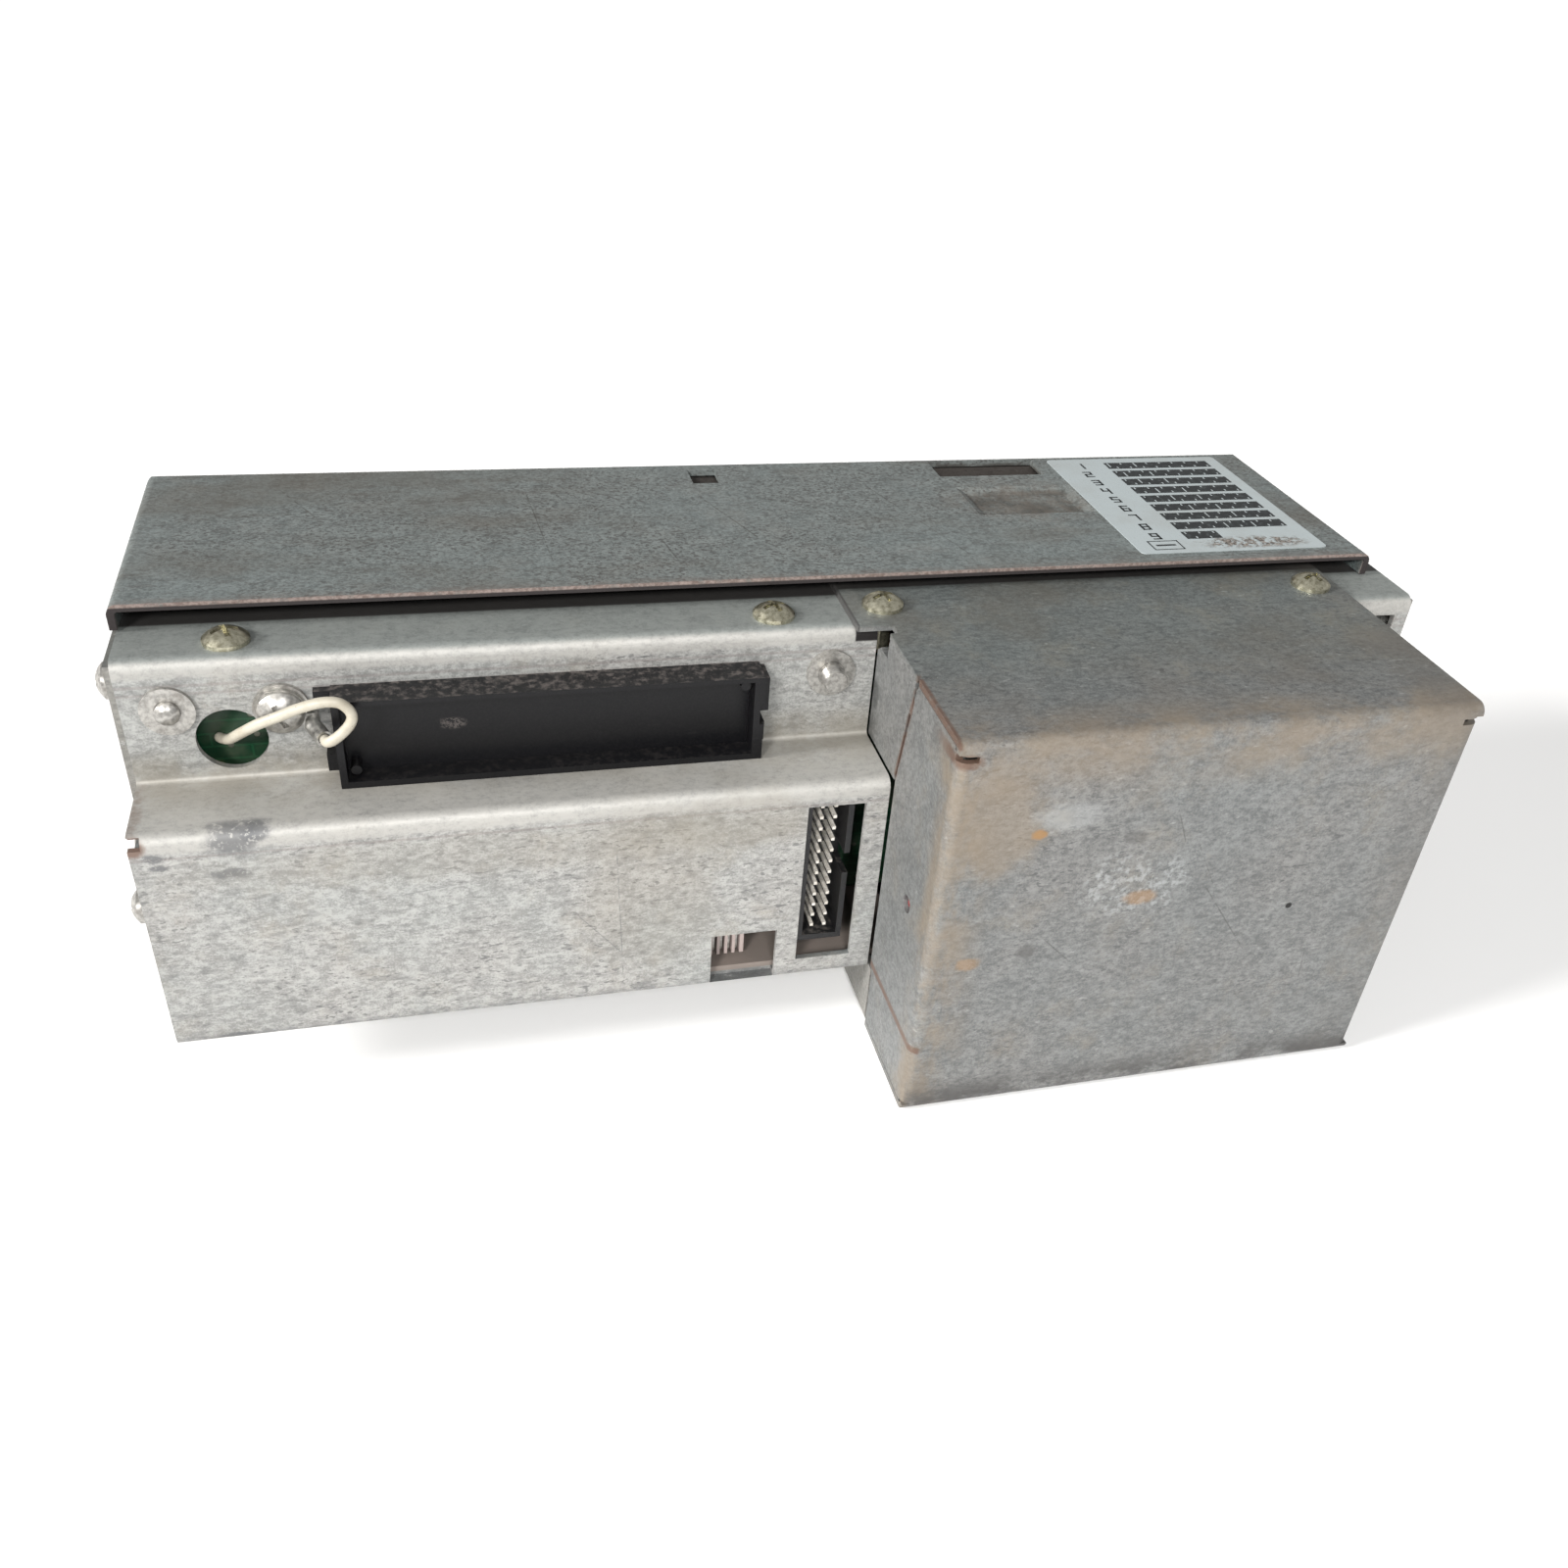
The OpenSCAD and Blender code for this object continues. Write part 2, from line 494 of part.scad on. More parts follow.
// Earth studs: the left one is short and round, the right one stands out
module earth_studs() datum() color("silver") {
    rod_y(stud_left[0], stud_left[1], recess_d - 1.6, recess_d + 4, m4_r);
    translate([stud_left[0], recess_d - 1.6, stud_left[1]]) rotate([90, 0, 0])
        rotate_extrude() intersection() {
        square([m4_r, 0.9]);
        translate([0, 0.9 - 2.7]) circle(2.7);
    }
    rod_y(stud_right[0], stud_right[1], recess_d - 4.2, recess_d - 0.9, m4_r);
    rod_y(stud_right[0], stud_right[1], recess_d - 0.9, recess_d + 4, stud_collar_r);
    for (s = [stud_left, stud_right]) rod_y(s[0], s[1], recess_d + sheet, recess_d + sheet + 2.2, 3.4);
    ring_y(stud_mid[0], stud_mid[1], recess_d + sheet, recess_d + sheet + 2.2, 3.4, m4_r + gap);
}

module flange_screws() datum() color("darkkhaki") {
    for (p = [screw_a, screw_b]) translate([p[0], p[1], flange_z]) pan_screw(m4_head_r, m4_head_h, m4_r, 7);
    for (p = [screw_c, screw_d]) translate([p[0], p[1], box_z]) pan_screw(m4_head_r, m4_head_h, m4_r, 8);
}

module end_screws() datum() color("silver") {
    for (p = [end_low, end_high]) translate([-sheet, p[0], p[1]]) rotate([0, -90, 0])
        pan_screw(end_head_r, m4_head_h, m3_r, 4);
    for (p = [[end_low[0] + 16, end_low[1] - 8], [end_high[0] + 2, end_high[1]]])
        translate([housing_l + sheet, p[0], p[1]]) rotate([0, 90, 0])
            pan_screw(end_head_r, m4_head_h, m3_r, 4);
}

under_positions = [[4.6, 6], [6, 71], [housing_l - 6, 24], [housing_l - 6, 71]];
module under_screws() datum() color("gainsboro") for (i = [0 : 3]) {
    seat = i == 0 ? drop_h : pan_z;
    translate([under_positions[i][0], under_positions[i][1], seat]) rotate([180, 0, 0])
        pan_screw(m3_head_r, m3_head_h, m3_r, i == 0 ? 4 : 3);
}

module rear_screws() datum() color("silver") for (x = rear_screw_x)
    translate([x, housing_d, rear_screw_z]) rotate([-90, 0, 0]) pan_screw(m3_head_r, m3_head_h, m3_r, 5);

// Countersunk screws that hold the box floor to the tongue
csk_r = 2.8;
module box_screws() datum() color("silver") for (x = box_screw_x)
    translate([x, box_screw_y, 0.1]) difference() {
    union() {
        cylinder(h = 1, r1 = csk_r - 0.2, r2 = csk_r - 1.2);
        cylinder(h = 5, r = m3_r);
    }
    for (a = [0, 90]) rotate([0, 0, a]) translate([-1.4, -0.3, -1]) cube([2.8, 0.6, 1.7]);
}

// ---- boards and connectors ----------------------------------------------

module board(x0, x1, y0, z0, z1) slab(x0, x1, y0, y0 + board_t, z0, z1);

spacer_x = [9, 90];
spacer_z = [pan_top + 8, shelf_z - 9];
module control_board() datum() color("darkgreen") difference() {
    board(3, 124, control_y, pan_top + 2.4, shelf_z - sheet - 0.4);
    for (x = spacer_x, z = spacer_z) rod_y(x, z, control_y - 1, control_y + 3, m3_hole);
}
pillar_x = [12, 208];
pillar_z = [drop_h + 22, drop_h + 43];
module power_board() datum() color("darkgreen") difference() {
    board(5, 222, power_y, pan_top + 2.4, rail_z - 8);
    for (x = spacer_x, z = spacer_z) rod_y(x, z, power_y - 1, power_y + 3, m3_hole);
    for (x = pillar_x, z = pillar_z) rod_y(x, z, power_y - 1, power_y + 3, m3_hole);
}
module inverter_board() datum() color("darkgreen")
    board(118, 203, inverter_y, pan_top, drop_h + 50);

module board_spacers() datum() color("gold") for (x = spacer_x, z = spacer_z) {
    translate([x, power_y, z]) rotate([90, 0, 0])
        cylinder(h = power_y - control_y - board_t, r = 3, $fn = 6);
    rod_y(x, z, control_y - 1.8, control_y + board_t + 2, m3_r);
    rod_y(x, z, control_y - 1.8, control_y, m3_head_r);
}
module board_pillars() datum() color("gold") for (x = pillar_x, z = pillar_z) {
    translate([x, wall_y, z]) rotate([90, 0, 0])
        cylinder(h = wall_y - power_y - board_t, r = 3.2, $fn = 6);
    rod_y(x, z, power_y - 1.8, power_y + board_t + 2, m3_r);
    rod_y(x, z, power_y - 1.8, power_y, m3_head_r);
}

// Shrouded box header, two columns of thirteen pins
pin_pitch = 2.54;
pin_rows = 13;
header = [113, drop_h + 7.7, 122, drop_h + 43.8];
header_front = 2;
header_mid_z = (header[1] + header[3]) / 2;
pin_low = header_mid_z - pin_pitch * (pin_rows - 1) / 2;
module header_housing() datum() color([0.09, 0.09, 0.1]) difference() {
    slab(header[0], header[2], header_front, control_y, header[1], header[3]);
    slab(header[0] + 1.1, header[2] - 1.1, header_front - 1, control_y - 2.2,
        header[1] + 1.2, header[3] - 1.2);
    slab(header[2] - 2, header[2] + 1, header_front - 1, control_y - 2.2,
        header_mid_z - 2.3, header_mid_z + 2.3);
    for (s = [-1, 1], i = [0 : pin_rows - 1]) pin_box(s, i, gap, header_front, control_y + 1);
}
module pin_box(side, i, grow, y0, y1) {
    x = (header[0] + header[2]) / 2 + side * pin_pitch / 2;
    z = pin_low + i * pin_pitch;
    slab(x - 0.32 - grow, x + 0.32 + grow, y0, y1, z - 0.32 - grow, z + 0.32 + grow);
}
module header_pins() datum() color("goldenrod")
    for (s = [-1, 1], i = [0 : pin_rows - 1]) pin_box(s, i, 0, header_front + 1, control_y);

// Small four-way socket at the lower edge of the control board
socket_x = 96.4;
socket_pitch = 1.5;
module side_socket() datum() color([0.12, 0.12, 0.12]) difference() {
    slab(socket_x, socket_x + 7, 5.4, control_y, drop_h + 3.4, drop_h + 14);
    for (i = [0 : 3]) slab(socket_x + 0.8 + i * socket_pitch, socket_x + 1.7 + i * socket_pitch,
        5, 9.4, drop_h + 3, drop_h + 12.4);
}
module socket_contacts() datum() color("lightgray") for (i = [0 : 3])
    slab(socket_x + 1.05 + i * socket_pitch, socket_x + 1.45 + i * socket_pitch, 6.4, 9.4,
        drop_h + 3.8, drop_h + 12.4);

// Processor and logic chips on the front of the control board
module chip(x, z, w, h, t) slab(x, x + w, control_y - t, control_y, z, z + h);
module control_chips() datum() color([0.1, 0.1, 0.1]) {
    chip(28, drop_h + 18, 22, 22, 3);
    for (i = [0 : 2]) chip(56, drop_h + 8 + 11 * i, 19, 7, 3.4);
    chip(14, drop_h + 20, 9, 5, 3);
    chip(14, drop_h + 29, 9, 5, 3);
}

// ---- settings under the top windows --------------------------------------

set_z = drop_h + 56.8;
module setting_board() datum() color("darkgreen") slab(96, 192, 62, 80.8, set_z, set_z + board_t);
module board_brackets() datum() color("silver") for (x = [120, 196 - 12]) along_x(x, x + 8)
    folded([[64, set_z - sheet / 2], [wall_y - sheet / 2, set_z - sheet / 2],
        [wall_y - sheet / 2, set_z - 7]],
        sheet, 2);

// Slide switch with one slider a way
way_pitch = 2.54;
switch_mid = [(switch_win[0] + switch_win[2]) / 2, 76.6];
switch_top = set_z + board_t + 5.4;
slot_l = 1.7 + switch_travel;
function way_x(i) = switch_mid[0] + (i - (switch_ways + 1) / 2) * way_pitch;
module switch_body() datum() color("firebrick") difference() {
    slab(switch_mid[0] - 11, switch_mid[0] + 11, switch_mid[1] - 4.6, switch_mid[1] + 4.6,
        set_z + board_t, switch_top);
    for (i = [1 : switch_ways]) slab(way_x(i) - 0.65, way_x(i) + 0.65, switch_mid[1] - slot_l / 2,
        switch_mid[1] + slot_l / 2, switch_top - 1.4, switch_top + 1);
}
module slider(i) datum() color("white")
    slab(way_x(i) - 0.6, way_x(i) + 0.6, switch_mid[1] - slot_l / 2 + 0.05,
    switch_mid[1] - slot_l / 2 + 1.65, switch_top - 1.35, switch_top + 0.8);
module slider_1() slider(1);
module slider_2() slider(2);
module slider_3() slider(3);
module slider_4() slider(4);
module slider_5() slider(5);
module slider_6() slider(6);
module slider_7() slider(7);
module slider_8() slider(8);

// Trimmer potentiometer under the small window
trim_at = [(trim_win[0] + trim_win[2]) / 2, 76];
trim_top = set_z + board_t + 5;
rotor_r = 2.4;
module trimmer_body() datum() color("royalblue") difference() {
    slab(trim_at[0] - 4.75, trim_at[0] + 4.75, trim_at[1] - 4.75, trim_at[1] + 4.75,
        set_z + board_t, trim_top);
    rod_z(trim_at[0], trim_at[1], trim_top - 1.6, trim_top + 1, rotor_r + gap);
}
module trimmer_rotor() datum() color("white")
    translate([trim_at[0], trim_at[1], trim_top - 1.6]) difference() {
    cylinder(h = 2, r = rotor_r);
    rotate([0, 0, trimmer_angle]) {
        translate([-rotor_r - 1, -0.35, 1.1]) cube([2 * rotor_r + 2, 0.7, 2]);
        translate([-0.2, -1.3, 1.4]) cube([1, 1.3, 2]);
    }
}

// ---- inside the box ------------------------------------------------------

core_mid = box_x + box_w / 2 + 0.5;
core_w = 72;
core_h = 60;
core_front = -18;
core_back = 12;
leg_w = 12;
core_low = 2 * sheet;
win_h = 36;
win_low = core_low + leg_w;
module transformer_core() datum() color("dimgray") difference() {
    slab(core_mid - core_w / 2, core_mid + core_w / 2, core_front, core_back, core_low, core_low + core_h);
    for (s = [-1, 1]) translate([core_mid + s * 18, 0, 0])
        slab(-6, 6, core_front - 1, core_back + 1, win_low, win_low + win_h);
}
module ring_block(out, front, back, z0, z1) difference() {
    along_z(z0, z1) round_rect(core_mid - out, core_front - front, core_mid + out, core_back + back, 3);
    slab(core_mid - leg_w - 0.2, core_mid + leg_w + 0.2, core_front - 0.2, core_back + 0.2, z0 - 1, z1 + 1);
}
module coil_bobbin() datum() color("beige") for (z = [win_low + 0.1, win_low + win_h - 1.3])
    ring_block(23.7, 5.4, 5.4, z, z + 1.2);
module transformer_coil() datum() color("chocolate")
    ring_block(23, 4.6, 4.6, win_low + 1.35, win_low + win_h - 1.35);
strap_y = [-9, 5];
module core_strap() datum() color("silver") along_y(strap_y[0], strap_y[1]) {
    left = core_mid - core_w / 2 - sheet / 2;
    right = core_mid + core_w / 2 + sheet / 2;
    top = core_low + core_h + sheet / 2;
    folded([[left, core_low + 3], [left, top], [right, top], [right, core_low + 3]], sheet, sheet);
    folded([[left - 6, core_low + sheet / 2], [left, core_low + sheet / 2],
        [left, core_low + 4]], sheet, sheet);
    folded([[right + 6, core_low + sheet / 2], [right, core_low + sheet / 2],
        [right, core_low + 4]], sheet, sheet);
}

// Red charge lamp that looks out through the left side of the box
lamp_at = [-14.5, drop_h + 28];
lamp_r = 1.6;
module charge_lamp() datum() color("darkred") {
    rod_x(lamp_at[0], lamp_at[1], box_x + 2, box_x + 5.2, lamp_r);
    translate([box_x + 2, lamp_at[0], lamp_at[1]]) rotate([0, -90, 0]) rotate_extrude() intersection() {
        square([lamp_r, lamp_r]);
        circle(lamp_r);
    }
    rod_x(lamp_at[0], lamp_at[1], box_x + 4.2, box_x + 5.2, lamp_r + 0.4);
}
module lamp_board() datum() color("darkgreen")
    slab(box_x + 5.2, box_x + 5.2 + board_t, -21.5, -10.5, core_low, drop_h + 36);

// ---- power section -------------------------------------------------------

cap_r = 11;
module bus_capacitors() datum() color([0.15, 0.2, 0.3]) for (i = [0 : 2]) translate([38 + 27 * i, 0, 0]) {
    rod_y(0, drop_h + 34, power_y + board_t, power_y + board_t + 40, cap_r);
    rod_y(0, drop_h + 34, power_y + board_t + 39, power_y + board_t + 40.6, cap_r - 1.6);
}

sink_y = 66;
sink_x = [118, 203];
fin_count = 15;
fin_pitch = 5.9;
lead_pitch = 5.2;
sink_top = drop_h + 48;
module heat_sink() datum() color("darkgray") {
    slab(sink_x[0], sink_x[1], sink_y, sink_y + 4, pan_top, sink_top);
    for (i = [0 : fin_count - 1])
        slab(sink_x[0] + fin_pitch * i, sink_x[0] + fin_pitch * i + 1.6,
            sink_y + 3, wall_y - 1.6, pan_top, sink_top);
}
module power_transistors() datum() color([0.12, 0.12, 0.12]) for (i = [0 : 4]) {
    x = sink_x[0] + 1.5 + 16.8 * i;
    difference() {
        slab(x, x + 15, sink_y - 5, sink_y, drop_h + 22, drop_h + 42);
        rod_y(x + 7.5, drop_h + 37.5, sink_y - 6, sink_y + 1, 1.7);
    }
    for (k = [-1 : 1]) {
        slab(x + 7 + lead_pitch * k, x + 8 + lead_pitch * k, sink_y - 3, sink_y - 2.4,
            drop_h + 14, drop_h + 22);
        slab(x + 7 + lead_pitch * k, x + 8 + lead_pitch * k, inverter_y + board_t, sink_y - 2.4,
            drop_h + 13.4, drop_h + 14);
    }
}

module relay() datum() color("orange")
    slab(126, 154, power_y + board_t, power_y + board_t + 24, drop_h + 42, drop_h + 55);
module fuse_holder() datum() color("gainsboro") for (x = [164, 182]) difference() {
    slab(x, x + 6, power_y + board_t, power_y + board_t + 8.4, drop_h + 46, drop_h + 53);
    rod_x(power_y + board_t + 5.2, drop_h + 49.5, x - 1, x + 7, 2.6 + gap);
}
module fuse() datum() color("whitesmoke") {
    rod_x(power_y + board_t + 5.2, drop_h + 49.5, 164, 188, 2.3);
    for (x = [164, 182]) rod_x(power_y + board_t + 5.2, drop_h + 49.5, x, x + 6, 2.6);
}
module filter_choke() datum() color("darkorange") translate([146, power_y + board_t, drop_h + 22])
    rotate([-90, 0, 0]) rotate_extrude() difference() {
        round_rect(6, 0, 15, 12, 2.6);
    }

block_y = [35, 71];
block_pitch = 6;
clamp_z = drop_h + 29.5;
clamp_r = 0.9;
module terminal_block() datum() color([0.1, 0.12, 0.1]) difference() {
    union() {
        slab(housing_l - 17, housing_l - 2, block_y[0], block_y[1], drop_h + 19, drop_h + 37);
        for (y = [block_y[0] - 6, block_y[1]])
            slab(housing_l - 5, housing_l, y, y + 6, drop_h + 24, drop_h + 32);
    }
    for (i = [0 : 5]) slab(housing_l - 8, housing_l - 1, block_y[0] + 0.8 + i * block_pitch,
        block_y[0] - 0.8 + (i + 1) * block_pitch, drop_h + 22, drop_h + 38);
    slab(housing_l - 18, housing_l - 14, block_y[0] - 1, block_y[1] + 1, drop_h + 18, drop_h + 22);
    for (i = [0 : 5])
        rod_x(block_y[0] + (i + 0.5) * block_pitch, clamp_z,
            housing_l - 13, housing_l - 7, clamp_r + gap);
}
module terminal_screws() datum() color("silver") for (i = [0 : 5])
    translate([housing_l - 8, block_y[0] + (i + 0.5) * block_pitch, clamp_z]) rotate([0, 90, 0])
        pan_screw(2, 1.6, clamp_r, 4);

// M4 clinch nuts pressed into the back wall: the four mounting points
nut_shank_r = 2.7;
nut_positions = [for (x = [24, 216], z = [drop_h + 10, drop_h + 54]) [x, z]];
module clinch_nuts() datum() color("silver") for (p = nut_positions) difference() {
    union() {
        rod_y(p[0], p[1], wall_y - 2.4, wall_y, 3.9);
        rod_y(p[0], p[1], wall_y - 1, wall_y + sheet, nut_shank_r);
    }
    rod_y(p[0], p[1], wall_y - 3, wall_y + sheet + 1, nut_core_r);
}

chassis_pan();
front_shell();
top_cover();
left_end_plate();
right_end_plate();
right_front_bracket();
inner_rail();
lower_tray();
box_cover();
rating_label();
option_bay();
jumper_wire();
wire_lug();
earth_screw();
stud_washers();
earth_studs();
flange_screws();
end_screws();
under_screws();
rear_screws();
box_screws();
control_board();
power_board();
inverter_board();
board_spacers();
board_pillars();
header_housing();
header_pins();
side_socket();
socket_contacts();
control_chips();
setting_board();
board_brackets();
switch_body();
slider_1();
slider_2();
slider_3();
slider_4();
slider_5();
slider_6();
slider_7();
slider_8();
trimmer_body();
trimmer_rotor();
transformer_core();
coil_bobbin();
transformer_coil();
core_strap();
charge_lamp();
lamp_board();
bus_capacitors();
heat_sink();
power_transistors();
relay();
fuse_holder();
fuse();
filter_choke();
terminal_block();
terminal_screws();
clinch_nuts();
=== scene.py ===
import math

import bpy
import numpy as np
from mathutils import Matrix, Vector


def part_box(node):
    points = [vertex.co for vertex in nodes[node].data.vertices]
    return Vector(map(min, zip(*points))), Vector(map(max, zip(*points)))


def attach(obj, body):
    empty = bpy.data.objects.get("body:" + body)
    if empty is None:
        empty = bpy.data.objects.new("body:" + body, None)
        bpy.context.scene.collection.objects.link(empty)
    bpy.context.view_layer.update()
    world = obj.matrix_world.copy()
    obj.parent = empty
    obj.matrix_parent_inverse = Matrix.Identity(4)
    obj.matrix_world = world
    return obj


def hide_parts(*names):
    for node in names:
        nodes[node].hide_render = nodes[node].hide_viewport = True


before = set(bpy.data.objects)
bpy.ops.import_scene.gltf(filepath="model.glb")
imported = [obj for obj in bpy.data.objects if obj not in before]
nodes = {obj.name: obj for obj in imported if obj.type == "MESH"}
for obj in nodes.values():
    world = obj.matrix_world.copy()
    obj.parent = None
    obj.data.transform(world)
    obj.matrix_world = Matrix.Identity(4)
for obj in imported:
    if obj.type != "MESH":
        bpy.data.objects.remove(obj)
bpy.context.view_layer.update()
print("stage: frame loaded,", len(nodes), "nodes")

# Places are given in millimetres from the housing's own corner: its left end, its lower front face
# and the plane the drive rests on
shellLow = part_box("front_shell")[0]
millimetre = 0.001


def fromLeft(x):
    return shellLow.x + x * millimetre


def fromFront(y):
    return shellLow.y + y * millimetre


def spot(x, y, z):
    return (fromLeft(x), fromFront(y), z * millimetre)


# Camera, light and sky
studio = {
    "cameraAt": (-0.06906, -0.22556, 0.19368),
    "cameraTurn": (54.05, -4.31, -14.44),  # degrees
    "lens": 31.68,
    "sensor": 36.0,
    "shift": (-0.01485, 0.03935),
    "clipStart": 0.005,
    "skyColour": (1.0, 1.0, 1.0),
    "skyStrength": 0.36,
    "suns": {  # place it shines from, strength, width in degrees, colour
        "frontSun": ((-0.50, -0.76, 0.50), 2.3, 12.0, (1.0, 0.985, 0.96)),
        "sideSun": ((-0.93, -0.10, 0.44), 3.3, 14.0, (1.0, 0.985, 0.965)),
    },
    "lampAt": (-0.05, -0.36, 0.30),  # a small soft lamp beside the camera
    "lampSize": 0.07,
    "lampPower": 0.75,
}


def facingOrigin(place):
    # the turn that points a light at the origin
    x, y, z = place
    tilt = math.pi / 2 - math.atan2(z, math.hypot(x, y))
    return (tilt, 0.0, math.atan2(-y, -x) - math.pi / 2)


def makeStudio():
    scene = bpy.context.scene
    scene.view_settings.view_transform = "Standard"
    camera = bpy.data.objects.new("camera", bpy.data.cameras.new("camera"))
    camera.location = studio["cameraAt"]
    camera.rotation_euler = [math.radians(a) for a in studio["cameraTurn"]]
    camera.data.lens = studio["lens"]
    camera.data.sensor_width = studio["sensor"]
    camera.data.shift_x, camera.data.shift_y = studio["shift"]
    camera.data.clip_start = studio["clipStart"]
    scene.collection.objects.link(camera)
    scene.camera = camera
    lights = []
    for name, (place, strength, width, colour) in studio["suns"].items():
        sun = bpy.data.lights.new(name, "SUN")
        sun.energy, sun.color, sun.angle = strength, colour, math.radians(width)
        lights.append((name, sun, place))
    lamp = bpy.data.lights.new("lamp", "AREA")
    lamp.energy, lamp.size = studio["lampPower"], studio["lampSize"]
    lights.append(("lamp", lamp, studio["lampAt"]))
    for name, light, place in lights:
        holder = bpy.data.objects.new(name, light)
        holder.location = place
        holder.rotation_euler = facingOrigin(place)
        scene.collection.objects.link(holder)
    sky = bpy.data.worlds.new("sky")
    sky.use_nodes = True
    background = sky.node_tree.nodes["Background"]
    background.inputs["Color"].default_value = (*studio["skyColour"], 1.0)
    background.inputs["Strength"].default_value = studio["skyStrength"]
    scene.world = sky


class Mark:
    # one socket of a material; sums and products of marks add Math nodes
    def __init__(self, finish, socket):
        self.finish, self.socket = finish, socket

    def maths(self, operation, first, second=0.0):
        return self.finish.add("ShaderNodeMath", {"operation": operation}, {0: first, 1: second})

    def __add__(self, other):
        return self.maths("ADD", self, other)

    def __sub__(self, other):
        return self.maths("SUBTRACT", self, other)

    def __rsub__(self, other):
        return self.maths("SUBTRACT", other, self)

    def __mul__(self, other):
        return self.maths("MULTIPLY", self, other)

    def __truediv__(self, other):
        return self.maths("DIVIDE", self, other)

    def __abs__(self):
        return self.maths("ABSOLUTE", self)

    def __pow__(self, other):
        return self.maths("POWER", self, other)

    __radd__ = __add__
    __rmul__ = __mul__

    def larger(self, other):
        return self.maths("MAXIMUM", self, other)

    def ramp(self, start, end):
        # smooth step from 0 at start to 1 at end, either way round
        return self.finish.add("ShaderNodeMapRange", {"interpolation_type": "SMOOTHSTEP"},
                               {"Value": self, "From Min": start, "From Max": end})


class Finish:
    # one material: its nodes are added by add(), its shader is set by shade()
    patchEdge = (1.15, 0.55)  # an ellipse fades out between these shares of its radii
    strokeFade = 0.0006  # a scratch fades in and out over this, in metres
    strokeCore = 0.25  # the share of a scratch's width that is at full strength
    strokeBreaks = (3.0, 2.0, 0.6, 0.36, 0.52)

    def __init__(self, name):
        self.material = bpy.data.materials.new(name)
        self.material.use_nodes = True
        self.tree = self.material.node_tree
        self.tree.nodes.clear()
        self.output = self.tree.nodes.new("ShaderNodeOutputMaterial")
        self.shader = self.tree.nodes.new("ShaderNodeBsdfPrincipled")
        self.tree.links.new(self.shader.outputs[0], self.output.inputs[0])
        self.place = self.add("ShaderNodeTexCoord", output="Object")

    def put(self, socket, value):
        if isinstance(value, Mark):
            self.tree.links.new(value.socket, socket)
        elif isinstance(value, (tuple, list)):
            socket.default_value = (*value, 1.0) if socket.type == "RGBA" else value
        else:
            socket.default_value = value

    def add(self, kind, settings=None, inputs=None, output=0):
        node = self.tree.nodes.new(kind)
        for key, value in (settings or {}).items():
            setattr(node, key, value)
        for key, value in (inputs or {}).items():
            self.put(node.inputs[key], value)
        return Mark(self, node.outputs[output])

    def shade(self, **values):
        for key, value in values.items():
            self.put(self.shader.inputs[key], value)
        return self.material

    def noise(self, size, detail, rough, stretch=None, turn=(0.0, 0.0, 0.0), offset=(0.0, 0.0, 0.0)):
        # cloudy pattern with features of about that size in millimetres
        where = self.place
        if stretch or any(turn) or any(offset):
            where = self.add("ShaderNodeMapping", None, {
                "Vector": where, "Scale": stretch or (1.0, 1.0, 1.0), "Rotation": turn, "Location": offset})
        return self.add("ShaderNodeTexNoise", None, {
            "Vector": where, "Scale": 1.0 / (size * millimetre), "Detail": detail, "Roughness": rough})

    def clouds(self, size, detail, rough, start, end, **placing):
        # the same pattern cut to a mask between two of its levels
        return self.noise(size, detail, rough, **placing).ramp(start, end)

    def axes(self):
        # the three coordinates, in metres
        split = self.add("ShaderNodeSeparateXYZ", None, {0: self.place})
        return [Mark(self, split.socket.node.outputs[k]) for k in range(3)]

    def facing(self, axis):
        # one part of a face's own direction: 1 where it faces along that axis
        normal = self.add("ShaderNodeNewGeometry", output="Normal")
        return self.add("ShaderNodeSeparateXYZ", None, {0: normal}, output=axis)

    def mix(self, amount, first, second, blend="MIX"):
        return self.add("ShaderNodeMix", {"data_type": "RGBA", "blend_type": blend},
                        {0: amount, 6: first, 7: second}, output=2)

    def bump(self, height, depth, strength):
        return self.add("ShaderNodeBump", None, {
            "Height": height, "Distance": depth * millimetre, "Strength": strength})

    def band(self, axis, centre, half, soft):
        # 1 within half of centre along one axis, falling to 0 over soft; centre in metres, the rest in mm
        return abs(axis - centre).ramp((half + soft) * millimetre, half * millimetre)

    def patch(self, first, second, centre, radii, wobble):
        # soft-edged ellipse on two of the axes: centre in metres, radii in millimetres
        along = (first - centre[0]) / (radii[0] * millimetre)
        across = (second - centre[1]) / (radii[1] * millimetre)
        reach = (along * along + across * across) ** 0.5
        reach = reach + (self.noise(min(radii) * 0.9, 4.0, 0.65) - 0.5) * wobble
        return reach.ramp(*self.patchEdge)

    def stroke(self, first, second, start, end, width):
        # fine scratch between two points on two of the axes, with a broken edge
        run = (end[0] - start[0], end[1] - start[1])
        length = math.hypot(*run)
        run = (run[0] / length, run[1] / length)
        along = (first - start[0]) * run[0] + (second - start[1]) * run[1]
        across = abs((second - start[1]) * run[0] - (first - start[0]) * run[1])
        fade = self.strokeFade
        inside = along.ramp(-fade, fade) * along.ramp(length + fade, length - fade)
        broken = self.clouds(*self.strokeBreaks)
        return across.ramp(width * millimetre, width * self.strokeCore * millimetre) * inside * broken


# The two axes that a face spans
frontFace = (0, 2)
topFace = (0, 1)
leftFace = (1, 2)


def facePoint(face, point):
    # a point of a face, from millimetres to the frame's metres
    place = [0.0, 0.0, 0.0]
    place[face[0]], place[face[1]] = point
    placed = spot(*place)
    return (placed[face[0]], placed[face[1]])


def facePatch(f, axes, face, centre, radii, wobble):
    return f.patch(axes[face[0]], axes[face[1]], facePoint(face, centre), radii, wobble)


